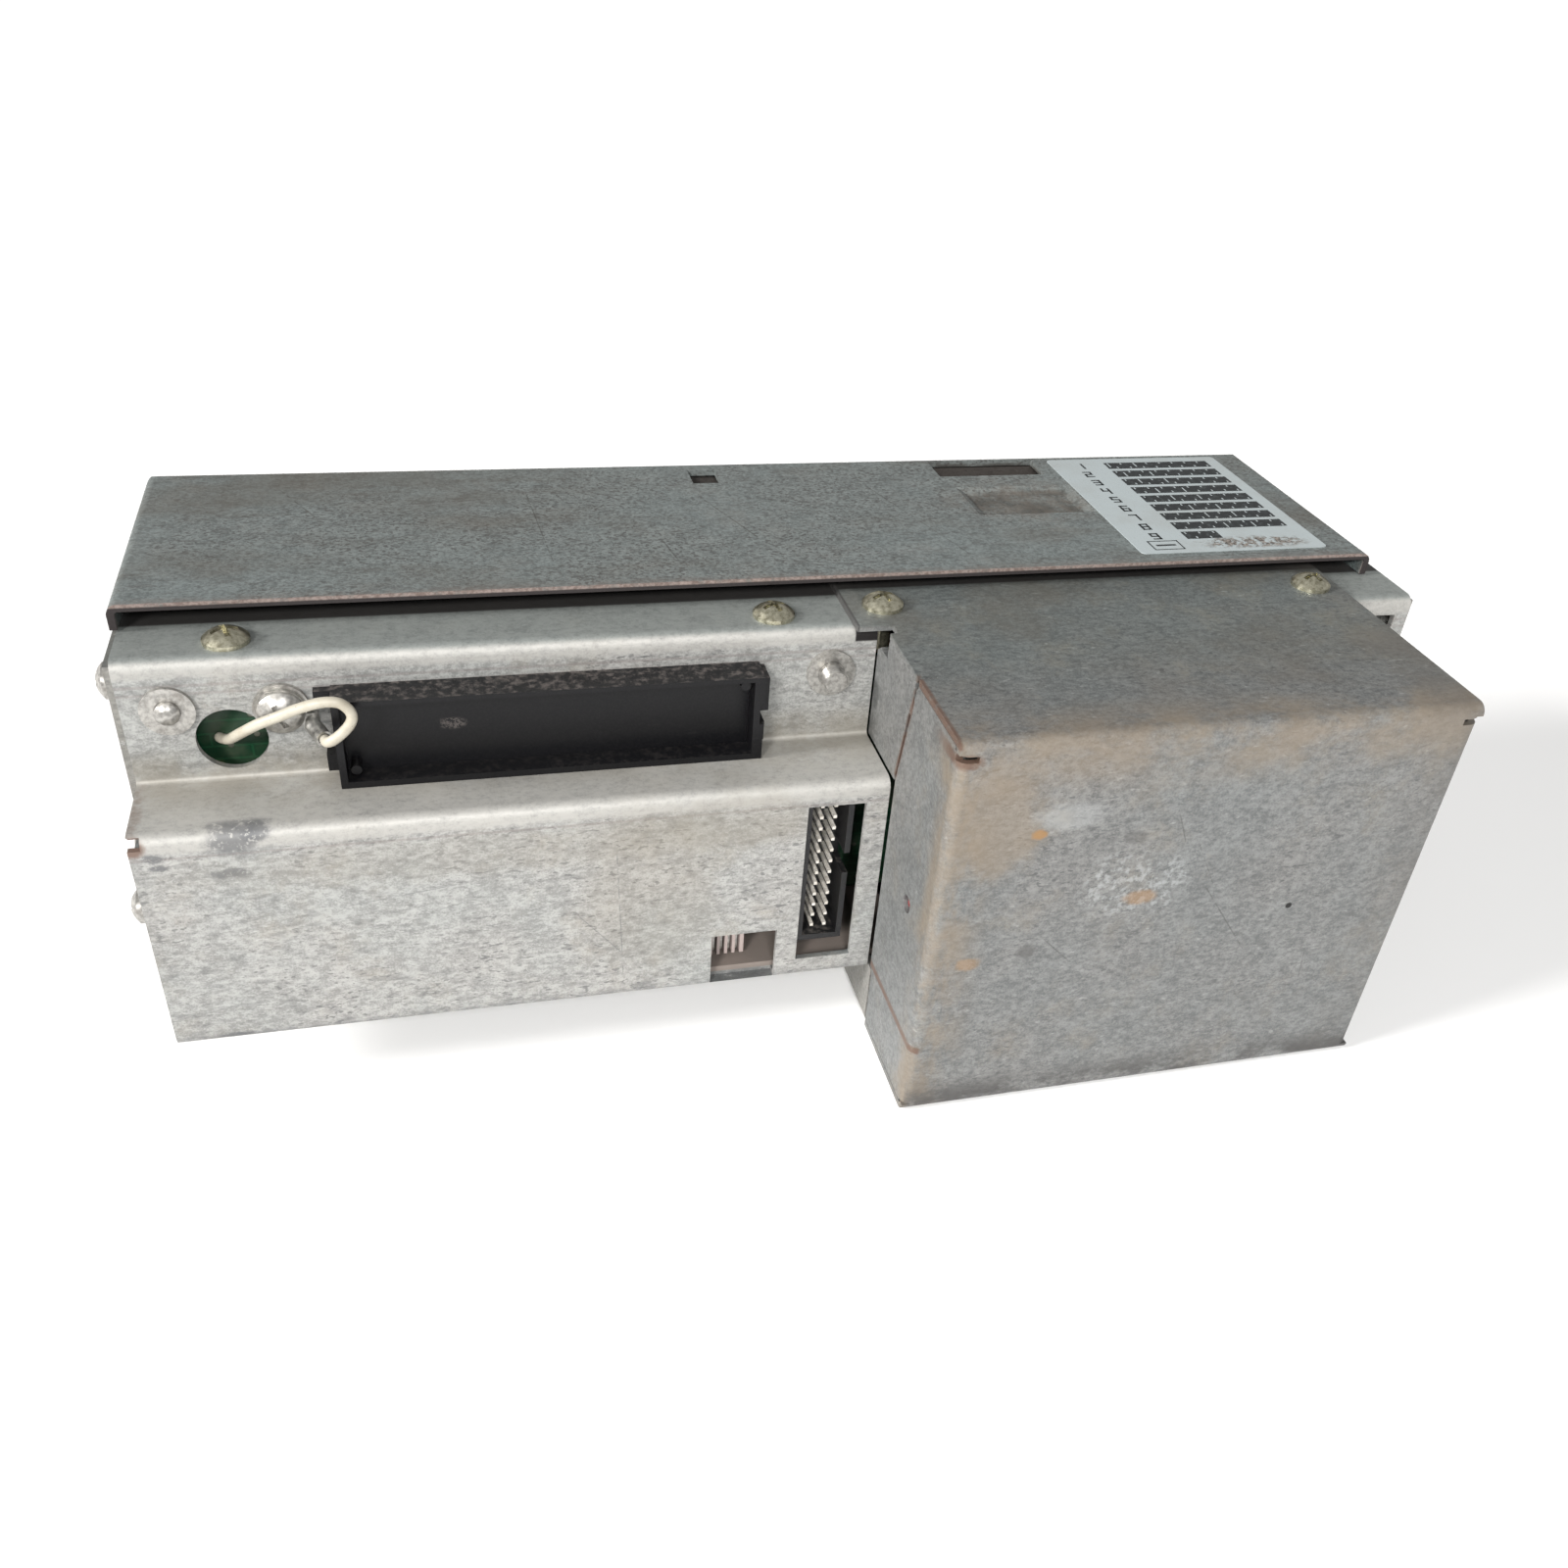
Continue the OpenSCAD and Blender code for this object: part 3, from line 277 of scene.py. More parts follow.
def faceStroke(f, axes, face, start, end, width):
    return f.stroke(axes[face[0]], axes[face[1]], facePoint(face, start), facePoint(face, end), width)


def step(axes, axis, start, end):
    # smooth step along one axis, from 0 at start to 1 at end, in millimetres from the housing's corner
    return axes[axis].ramp(spot(start, start, start)[axis], spot(end, end, end)[axis])


def tint(f, colour, mask, tone, amount, blend="MIX"):
    # lays a tone over the colour where the mask is, no stronger than amount
    return f.mix(mask * amount, colour, tone, blend)


wire = {
    "radius": 0.9,  # mm
    "steps": 8,  # points in each stretch of the route
    "bevelSteps": 5,
    "drop": 13.2,  # from the housing's underside to the plane it rests on, mm
    "route": [(13.6, 20.4, 50.9), (14.3, 18.8, 51.6), (15.8, 16.2, 53.0), (18.4, 12.6, 56.2),
              (21.4, 10.3, 58.9), (24.7, 9.0, 60.8), (28.2, 8.5, 62.4), (31.6, 8.2, 63.4),
              (34.2, 8.1, 63.3), (35.7, 8.0, 62.1), (36.2, 7.9, 60.6), (35.6, 7.7, 59.2),
              (34.3, 7.4, 57.9), (32.8, 7.3, 56.8), (31.8, 8.0, 56.1), (31.4, 9.4, 55.8)],
    "clean": (0.47, 0.44, 0.365), "soiled": (0.30, 0.26, 0.19), "speck": (0.12, 0.10, 0.07),
    # patterns: size in mm, detail, roughness, and the two levels a mask is cut between
    "soil": (5.0, 4.0, 0.6, 0.42, 0.72), "specks": (0.5, 2.0, 0.5, 0.66, 0.74), "skin": (0.8, 3.0, 0.5),
    "rough": 0.38, "relief": 0.05,
}


def makeWire():
    # the jumper wire, laid along its route as a smooth curve through each point
    points = np.array([spot(x, y, z + wire["drop"]) for x, y, z in wire["route"]])
    padded = np.vstack([points[:1], points, points[-1:]])
    t = np.arange(wire["steps"])[:, None, None] / wire["steps"]
    before, start, end, after = padded[:-3], padded[1:-2], padded[2:-1], padded[3:]
    # each stretch is half of 2b + (c - a)t + (2a - 5b + 4c - d)t2 + (3b - a - 3c + d)t3
    line = 0.5 * (2 * start + (end - before) * t + (2 * before - 5 * start + 4 * end - after) * t**2
                  + (3 * start - before - 3 * end + after) * t**3)
    line = np.vstack([line.transpose(1, 0, 2).reshape(-1, 3), points[-1:]])
    curve = bpy.data.curves.new("jumperWire", "CURVE")
    curve.dimensions = "3D"
    curve.bevel_depth = 1.0  # the points' radius sets the size
    curve.bevel_resolution = wire["bevelSteps"]
    curve.use_fill_caps = True
    spline = curve.splines.new("POLY")
    spline.points.add(len(line) - 1)
    spline.points.foreach_set("co", np.hstack([line, np.ones((len(line), 1))]).ravel())
    spline.points.foreach_set("radius", np.full(len(line), wire["radius"] * millimetre))
    piece = bpy.data.objects.new("jumperWire", curve)
    bpy.context.scene.collection.objects.link(piece)
    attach(piece, "housing")
    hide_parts("jumper_wire")
    curve.materials.append(wireFinish())


def wireFinish():
    # ivory jacket, soiled in clouds and finely specked
    f = Finish("wireJacket")
    soil = f.clouds(*wire["soil"])
    colour = f.mix(soil * 0.55, wire["clean"], wire["soiled"])
    colour = f.mix(f.clouds(*wire["specks"]) * 0.5, colour, wire["speck"])
    return f.shade(**{"Base Color": colour, "Roughness": soil * 0.2 + wire["rough"],
                      "Normal": f.bump(f.noise(*wire["skin"]), wire["relief"], 0.5)})


makeStudio()
makeWire()

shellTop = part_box("front_shell")[1].z
coverLow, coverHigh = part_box("top_cover")
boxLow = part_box("box_cover")[0]
shelfTop = 58.4 * millimetre

sheet = {
    # patterns: size in mm, detail, roughness, and the two levels a mask is cut between
    "grain": (0.38, 3.0, 0.7), "crystal": (0.85, 3.0, 0.6), "blotch": (5.5, 3.0, 0.6),
    "fleck": (0.62, 2.0, 0.5), "streak": (1.5, 3.0, 0.6, 0.54, 0.66), "cloud": (34.0, 4.0, 0.62),
    "haze": (13.0, 5.0, 0.7), "pale": (0.9, 3.0, 0.6, 0.62, 0.74),
    "rustSpread": (2.2, 4.0, 0.65, 0.25, 0.5), "rustTone": (0.7, 3.0, 0.6, 0.35, 0.65),
    # how far each pattern counts in the sheet's lightness, gloss and relief
    "crystalShare": 0.42, "grainShare": 0.40, "blotchShare": 0.18,
    "grainRough": 0.22, "cloudRough": 0.16, "rustRough": 0.3,
    "grainHeight": 0.35, "crystalHeight": 0.8, "fleckHeight": 0.35,
    "edgeSoft": 0.25, "creaseSoft": 0.22,  # mm
    "insideFrom": 0.030, "insideTo": 0.045,  # metres above the ground
    "lipBack": (0.30, 0.15), "lipDown": (0.35, 0.65),  # mm from the front and from the top
}
zinc = {
    "bright": (0.445, 0.438, 0.42), "dull": (0.25, 0.246, 0.236),
    # painted shade with a bluish sky tint on faces that look up
    "upFaceShadeAmount": 0.9, "upFaceShadeTone": (0.50, 0.53, 0.54), "coolAmount": 0.8, "cool": (0.93, 0.97, 0.98),
    "tanAmount": 0.4, "tan": (0.29, 0.255, 0.20), "dark": (0.115, 0.117, 0.117),
    "fleckAmount": 0.7, "fleckEdge": 0.60, "fleckStretch": (0.38, 0.7, 1.0), "fleckTurn": (0.0, 0.16, 0.1),
    "streakAmount": 0.32, "streakStretch": (0.3, 1.0, 1.0), "streakTurn": (0.0, 0.62, 0.0),
    "paleAmount": 0.45, "pale": (0.58, 0.575, 0.56), "grainStretch": (0.6, 0.9, 1.0),
    # the bends' brighter tone: partly rubbed zinc, partly a painted highlight
    "rubbed": (0.43, 0.42, 0.395), "crease": (0.20, 0.165, 0.16),
    "rust": (0.15, 0.10, 0.085), "rustPale": (0.33, 0.26, 0.235),
    "rough": 0.44, "metal": 0.30, "relief": 0.05,
    "bends": (), "creases": (), "cutEdges": (),
}
sheets = {
    "zincSheet": dict(
        zinc,
        # axis, centre in metres, half width in mm, amount
        bends=((2, shelfTop - 0.0011, 1.5, 0.9), (2, shellTop - 0.0011, 1.5, 0.8),
               (2, shelfTop + 0.0012, 0.9, 0.35)),
        creases=((2, shelfTop - 0.0042, 0.12), (2, shellTop - 0.0046, 0.15), (2, shellTop - 0.0061, 0.12)),
    ),
    "coverSheet": dict(
        # the cover's dark, cool tones are partly its own and partly painted shade on this sheet that faces up
        zinc,
        bright=(0.195, 0.228, 0.222), dull=(0.078, 0.094, 0.092), upFaceShadeAmount=0.0,
        cool=(0.90, 0.97, 1.0), tan=(0.13, 0.118, 0.098), tanAmount=0.35, dark=(0.03, 0.034, 0.032),
        fleckAmount=0.95, fleckEdge=0.55, fleckStretch=(0.75, 1.0, 1.0), fleckTurn=(0.0, 0.0, 0.5),
        streakAmount=0.5, streakStretch=(0.45, 1.0, 1.0), streakTurn=(0.0, 0.0, 0.6),
        pale=(0.30, 0.33, 0.32), paleAmount=0.5, grainStretch=(0.9, 1.0, 1.0), rubbed=(0.30, 0.295, 0.285),
        rust=(0.16, 0.12, 0.105), rustPale=(0.27, 0.215, 0.195), rough=0.40,
        bends=((2, coverHigh.z - 0.0008, 0.7, 0.3),),
        cutEdges=((1, coverLow.y, 0.22),),
        lip=(coverLow.y, coverHigh.z), lipTone=(0.028, 0.023, 0.023),
    ),
    "boxSheet": dict(
        zinc,
        bright=(0.236, 0.236, 0.229), dull=(0.126, 0.127, 0.125), upFaceShadeAmount=0.225,
        cool=(0.93, 0.97, 0.99), tan=(0.22, 0.19, 0.145), tanAmount=0.45, dark=(0.085, 0.087, 0.088),
        fleckEdge=0.61, streakAmount=0.22, pale=(0.40, 0.40, 0.39), paleAmount=0.4,
        rough=0.33, metal=0.35,
        bends=((0, boxLow.x + 0.0012, 1.4, 0.25),),
    ),
    "plainSheet": dict(zinc, bright=(0.30, 0.285, 0.262), dull=(0.20, 0.19, 0.175), tanAmount=0.6),
    "panSheet": dict(zinc, bright=(0.36, 0.353, 0.335), dull=(0.225, 0.221, 0.212), tanAmount=0.5,
                     inside=(0.30, 0.25, 0.22), insideDeep=(0.045, 0.037, 0.032)),
    # the inner rail's zinc is painted near black as painted shade under the cover
    "railSheet": dict(zinc, bright=(0.06, 0.054, 0.05), dull=(0.03, 0.028, 0.027), tan=(0.06, 0.045, 0.035),
                      tanAmount=0.8, dark=(0.02, 0.02, 0.02), pale=(0.09, 0.08, 0.07), rough=0.5, metal=0.2),
}


def sheetFinish(name, look, marks):
    # zinc-coated sheet: fine grain, crystals, dark flecks drawn out along the sheet, clouds, rusty edges,
    # painted shade on faces that look up and a painted highlight along the bends
    f = Finish(name)
    axes = f.axes()
    grain = f.noise(*sheet["grain"])
    crystal = f.noise(*sheet["crystal"], stretch=look["grainStretch"])
    fleck = f.noise(*sheet["fleck"], stretch=look["fleckStretch"], turn=look["fleckTurn"])
    streak = f.clouds(*sheet["streak"], stretch=look["streakStretch"], turn=look["streakTurn"],
                      offset=(1.3, 0.2, 0.8))
    cloud = f.noise(*sheet["cloud"])
    haze = f.noise(*sheet["haze"], offset=(0.3, 0.1, 0.7))
    blotch = f.noise(*sheet["blotch"], offset=(0.4, 1.7, 0.2))
    lightness = crystal * sheet["crystalShare"] + grain * sheet["grainShare"] + blotch * sheet["blotchShare"]
    colour = f.mix(lightness.ramp(0.38, 0.62), look["dull"], look["bright"])
    up = f.facing(2)
    # painted shade and sky tint: faces that look up are darkened and cooled
    colour = f.mix(up.ramp(0.75, 0.97) * look["upFaceShadeAmount"], colour, look["upFaceShadeTone"], "MULTIPLY")
    colour = f.mix(cloud.ramp(0.36, 0.66) * look["coolAmount"], colour, look["cool"], "MULTIPLY")
    colour = f.mix(haze.ramp(0.5, 0.78) * look["tanAmount"], colour, look["tan"])
    colour = f.mix(streak * look["streakAmount"], colour, look["dark"])
    darkFleck = fleck.ramp(look["fleckEdge"], look["fleckEdge"] + 0.06) * cloud.ramp(0.66, 0.40)
    colour = f.mix(darkFleck * look["fleckAmount"], colour, look["dark"])
    paleFleck = f.clouds(*sheet["pale"], stretch=look["fleckStretch"], turn=look["fleckTurn"],
                         offset=(2.0, 1.0, 0.5))
    colour = f.mix(paleFleck * look["paleAmount"], colour, look["pale"])
    rough = grain * sheet["grainRough"] + cloud * sheet["cloudRough"] + look["rough"]
    height = grain * sheet["grainHeight"] + crystal * sheet["crystalHeight"]
    height = height - darkFleck * sheet["fleckHeight"]
    # bends: a brighter band, partly rubbed zinc and partly a painted highlight, with a fine crease where the
    # tool pressed
    for axis, centre, half, amount in look["bends"]:
        rub = f.band(axes[axis], centre, half, half * 0.8) * amount
        colour = f.mix(rub * (lightness.ramp(0.3, 0.6) * 0.5 + 0.5), colour, look["rubbed"])
        rough = rough - rub * 0.1
    for axis, centre, half in look["creases"]:
        colour = f.mix(f.band(axes[axis], centre, half, sheet["creaseSoft"]) * 0.35, colour, look["crease"])
    if marks:
        colour, rough, height = marks(f, axes, colour, rough, height)
    if "inside" in look:
        # dust and shade on the faces that look up or forward, inside the housing
        inward = up.larger(f.facing(1) * -1).ramp(0.4, 0.8) * 0.9
        deep = axes[2].ramp(sheet["insideFrom"], sheet["insideTo"])
        colour = f.mix(inward, colour, f.mix(deep, look["inside"], look["insideDeep"]))
    metal = 1 - haze.ramp(0.45, 0.8) * 0.3
    for axis, centre, half in look["cutEdges"]:
        rusty = f.band(axes[axis], centre, half, sheet["edgeSoft"])
        rusty = rusty * (f.clouds(*sheet["rustSpread"]) * 0.75 + 0.25)
        colour = f.mix(rusty, colour, f.mix(f.clouds(*sheet["rustTone"]), look["rust"], look["rustPale"]))
        rough = rough + rusty * sheet["rustRough"]
        metal = metal * (1 - rusty * 0.9)
    if "lip" in look:
        # the lower part of the front edge is in shade and grime
        front, top = look["lip"]
        back, down = sheet["lipBack"], sheet["lipDown"]
        shaded = axes[1].ramp(front + back[0] * millimetre, front + back[1] * millimetre)
        shaded = shaded * axes[2].ramp(top - down[0] * millimetre, top - down[1] * millimetre)
        colour = f.mix(shaded, colour, look["lipTone"])
    return f.shade(**{"Base Color": colour, "Roughness": rough, "Metallic": metal * look["metal"],
                      "Normal": f.bump(height, look["relief"], 0.55)})


shellWear = {
    # tone and amount
    "worn": ((0.13, 0.133, 0.138), 0.8), "footWorn": ((0.13, 0.133, 0.138), 0.55),
    "rust": ((0.13, 0.062, 0.036), 0.8), "shelfGrime": ((0.235, 0.21, 0.165), 0.5),
    "flange": ((0.60, 0.66, 0.67), 0.9), "shadeAndGrimeUnderCover": ((0.022, 0.018, 0.017), 0.9),
    "notchShadow": (0.012, 0.010, 0.010), "grime": (0.235, 0.21, 0.165),
    # axis, start and end of each step, mm
    "lowerFace": (1, 4.2, 2.6), "underFlap": (2, 77.9, 78.3), "onFlange": (2, 80.3, 81.1),
    "atCover": (1, 28.5, 29.3), "intoShelf": (1, 2.2, 15), "aboveShelf": (2, 57.2, 58.0),
    "belowRecess": (2, 66, 61.2), "atFoot": (2, 17.0, 13.4),
    # patterns: size in mm, detail, roughness and the two levels that cut the mask
    "flaking": (1.1, 4.0, 0.7, 0.34, 0.48), "dusty": (9.0, 4.0, 0.65, 0.3, 0.6),
    "footClouds": (5.0, 4.0, 0.7, 0.36, 0.62),
    "notchAt": (126.5, 2.8, 0.3),  # centre, half width and soft edge, mm
    "rustAt": ((0.6, 56.6), (2.2, 2.0), 0.7),  # centre and radii in mm, wobble
    # worn spots of the lower face: centre and radii in mm, wobble
    "spots": (((15.6, 56.8), (4.4, 3.0), 1.3), ((19.4, 57.6), (2.6, 1.6), 1.3),
              ((15.0, 50.4), (3.4, 1.2), 1.3), ((3.4, 54.4), (1.9, 1.0), 1.3),
              ((4.0, 52.4), (1.7, 0.7), 1.3), ((10.5, 14.6), (3.0, 0.9), 1.3)),
    # soiled areas: centre and radii in mm, wobble, amount
    "soiled": (((84, 38), (14, 20), 1.0, 0.24), ((100, 52), (16, 7), 1.0, 0.28),
               ((60, 50), (60, 5), 1.0, 0.2)),
    # scratches: start, end and width, mm
    "scratches": (((78, 47), (79, 19), 0.16), ((71, 34), (79, 24), 0.14), ((30, 41), (52, 44), 0.12)),
}


def shellMarks(f, axes, colour, rough, height):
    # worn zinc beside the shelf bend, rust round the relief hole, dirt on the shelf, soil near the windows,
    # painted shade on the flange and behind the cover's edge, and a painted shadow in the gap under the flap
    wear = shellWear
    lowerFace = step(axes, *wear["lowerFace"])
    for wornSpot in wear["spots"]:
        area = facePatch(f, axes, frontFace, *wornSpot) * f.clouds(*wear["flaking"])
        colour = tint(f, colour, area * lowerFace, *wear["worn"])
    # painted shadow: a near-black band where the gap under the flap's edge is
    centre, half, soft = wear["notchAt"]
    notchShadow = f.band(axes[0], fromLeft(centre), half, soft) * step(axes, *wear["underFlap"])
    colour = f.mix(notchShadow, colour, wear["notchShadow"])
    # painted shade: the flange on top is darkened and cooled
    colour = tint(f, colour, step(axes, *wear["onFlange"]), *wear["flange"], "MULTIPLY")
    colour = tint(f, colour, facePatch(f, axes, frontFace, *wear["rustAt"]), *wear["rust"])
    # painted shade with some grime: a dark band behind the cover's front edge
    colour = tint(f, colour, step(axes, *wear["atCover"]), *wear["shadeAndGrimeUnderCover"])
    shelf = step(axes, *wear["intoShelf"]) * step(axes, *wear["aboveShelf"])
    shelf = shelf * step(axes, *wear["belowRecess"]) * f.clouds(*wear["dusty"])
    colour = tint(f, colour, shelf, *wear["shelfGrime"])
    for *area, amount in wear["soiled"]:
        colour = tint(f, colour, facePatch(f, axes, frontFace, *area), wear["grime"], amount)
    foot = step(axes, *wear["atFoot"]) * f.clouds(*wear["footClouds"])
    colour = tint(f, colour, foot, *wear["footWorn"])
    for scratch in wear["scratches"]:
        colour = tint(f, colour, faceStroke(f, axes, frontFace, *scratch), *wear["footWorn"])
    return colour, rough, height


coverWear = {
    # tone and amount
    "brown": ((0.095, 0.082, 0.066), 0.55), "frontEdge": ((0.17, 0.13, 0.11), 0.4),
    "pocketDirt": ((0.05, 0.045, 0.038), 0.8), "pocketRim": ((0.17, 0.14, 0.115), 0.4),
    "darkScratch": ((0.05, 0.045, 0.038), 0.6), "paleScratch": ((0.26, 0.27, 0.27), 0.6),
    # axis, start and end of each step, mm
    "toFront": (1, 30, 27.2), "pocketTop": (2, 85.6, 85.1), "pocketBottom": (2, 84.2, 84.6),
    "pocketLeft": (0, 159.2, 160.4), "pocketRight": (0, 186.4, 185.4),
    # patterns: size in mm, detail, roughness and the two levels that cut the mask
    "filmClouds": (42.0, 4.0, 0.6, 0.46, 0.66), "frontClouds": (4.0, 4.0, 0.7, 0.3, 0.6),
    "pocketClouds": (7.0, 4.0, 0.6, 0.25, 0.6), "rimClouds": (3.0, 3.0, 0.6, 0.3, 0.7),
    "filmRough": 0.12, "pocketRough": 0.2,
    "pocketAt": ((172.6, 59.5), (19.0, 12.0), 0.6),  # centre and radii in mm, wobble
    # scratches: start, end and width, mm
    "darkScratches": (((24, 74), (31, 60), 0.2), ((70, 70), (72, 38), 0.16), ((104, 66), (112, 44), 0.2),
                      ((140, 70), (151, 34), 0.15), ((44, 42), (62, 36), 0.15), ((118, 70), (150, 72), 0.14),
                      ((92, 52), (95, 34), 0.2), ((192, 29), (232, 30), 0.2)),
    "paleScratches": (((128, 56), (133, 50), 0.2), ((36, 64), (60, 66), 0.12), ((130, 36), (176, 40), 0.12)),
}


def coverMarks(f, axes, colour, rough, height):
    # brown film in places, dirt in the pressed pocket, long scratches and a worn front edge
    wear = coverWear
    film = f.clouds(*wear["filmClouds"], stretch=(0.5, 1.4, 1.0), offset=(0.9, 0.0, 0.0))
    colour = tint(f, colour, film, *wear["brown"])
    front = step(axes, *wear["toFront"]) * f.clouds(*wear["frontClouds"])
    colour = tint(f, colour, front, *wear["frontEdge"])
    pocket = step(axes, *wear["pocketTop"]) * step(axes, *wear["pocketBottom"])
    pocket = pocket * step(axes, *wear["pocketLeft"]) * step(axes, *wear["pocketRight"])
    colour = tint(f, colour, pocket * f.clouds(*wear["pocketClouds"]), *wear["pocketDirt"])
    rough = rough + film * wear["filmRough"] + pocket * wear["pocketRough"]
    rim = facePatch(f, axes, topFace, *wear["pocketAt"]) * f.clouds(*wear["rimClouds"])
    colour = tint(f, colour, rim, *wear["pocketRim"])
    for scratch in wear["darkScratches"]:
        colour = tint(f, colour, faceStroke(f, axes, topFace, *scratch), *wear["darkScratch"])
    for scratch in wear["paleScratches"]:
        colour = tint(f, colour, faceStroke(f, axes, topFace, *scratch), *wear["paleScratch"])
    return colour, rough, height


boxWear = {
    # tone and amount
    "tanFilm": ((0.235, 0.185, 0.13), 0.6), "tanCorner": ((0.235, 0.185, 0.13), 0.5),
    "topBrown": ((0.15, 0.125, 0.10), 0.45), "topFaceShade": ((0.76, 0.88, 0.86), 0.5),
    "shadeAndGrimeUnderCover": ((0.022, 0.018, 0.017), 0.85), "flapEdge": ((0.075, 0.072, 0.07), 0.8),
    "foot": ((0.075, 0.072, 0.07), 0.85), "rightBrown": ((0.14, 0.13, 0.118), 0.45),
    "bloom": ((0.42, 0.435, 0.435), 0.5), "scratch": ((0.075, 0.072, 0.07), 0.6),
    "rust": ((0.13, 0.075, 0.052), 0.85), "pit": (0.01, 0.01, 0.01),
    "spotTones": {"orange": (0.30, 0.165, 0.06), "dark": (0.075, 0.072, 0.07), "pale": (0.42, 0.435, 0.435)},
    # axis, start and end of each step, mm
    "onFront": (1, -25.6, -26.4), "nearFront": (1, -14.0, -24.6), "upFront": (2, 68.5, 79.5),
    "belowTop": (2, 83.2, 82.2), "toLeft": (0, 140, 130), "leftFront": (1, -19, -24),
    "onTop": (2, 81.6, 82.2), "overTop": (2, 81.8, 82.2), "toBack": (1, -27, 8), "atCover": (1, 28.3, 29.1),
    "atFlapEdge": (0, 123.5, 123.3), "atFoot": (2, 9.2, 2), "toRight": (0, 208, 226),
    "onLeft": (0, 130.0, 129.3), "leftEdge": (0, 128.9, 128.3), "topEdge": (2, 80.8, 81.4),
    "edgeFrom": (1, -3.5, -6),
    # patterns: size in mm, detail, roughness and the two levels that cut the mask
    "frontClouds": (11.0, 5.0, 0.68, 0.34, 0.62), "leftClouds": (8.0, 5.0, 0.7, 0.36, 0.6),
    "topClouds": (26.0, 4.0, 0.6, 0.42, 0.7), "footClouds": (6.0, 5.0, 0.7, 0.33, 0.56),
    "rightClouds": (14.0, 4.0, 0.65, 0.34, 0.66), "bloomGrain": (1.7, 4.0, 0.7, 0.46, 0.62),
    "rustGrain": (1.6, 4.0, 0.7, 0.25, 0.5), "rustShare": 0.6, "rustLeast": 0.4,
    "footRough": 0.15, "bloomHeight": 0.4, "pitHeight": 3,
    # centre and radii in mm, wobble
    "cornerAt": ((137, 66), (9.0, 14.0), 1.2), "bloomAt": ((165, 50), (12.0, 8.0), 1.6),
    "slotAt": ((129.6, 78.8), (3.2, 1.6), 0.5),
    "pitAt": (198.8, 41.6), "pitEdge": (0.8, 0.5),  # centre, outer and inner radius, mm
    "seam": ((-5.0, 80), (-0.6, 59.6), 1.1),  # on the left side: top, foot and width, mm
    "lowFold": (15.8, 0.5, 0.5),  # height, half width and soft edge, mm
    # spots of the front: centre and radii in mm, wobble, tone, amount
    "spots": (((144.8, 63.4), (1.6, 1.2), 0.8, "orange", 0.85),
              ((167, 47.5), (3.6, 1.8), 0.8, "orange", 0.5),
              ((136, 36), (2.6, 1.6), 0.8, "orange", 0.4), ((147, 37.5), (2.4, 1.7), 0.8, "dark", 0.6),
              ((163, 61), (2.6, 1.6), 0.8, "dark", 0.45), ((150, 66.5), (7.0, 3.0), 0.8, "pale", 0.3)),
    # scratches: start, end and width, mm
    "scratches": (((180, 48), (192, 32), 0.2), ((176, 58), (181, 49), 0.14), ((190, 22), (206, 21), 0.14),
                  ((170, 66), (173, 59), 0.2), ((206, 30), (207, 22), 0.14), ((150, 40), (156, 34), 0.16)),
}


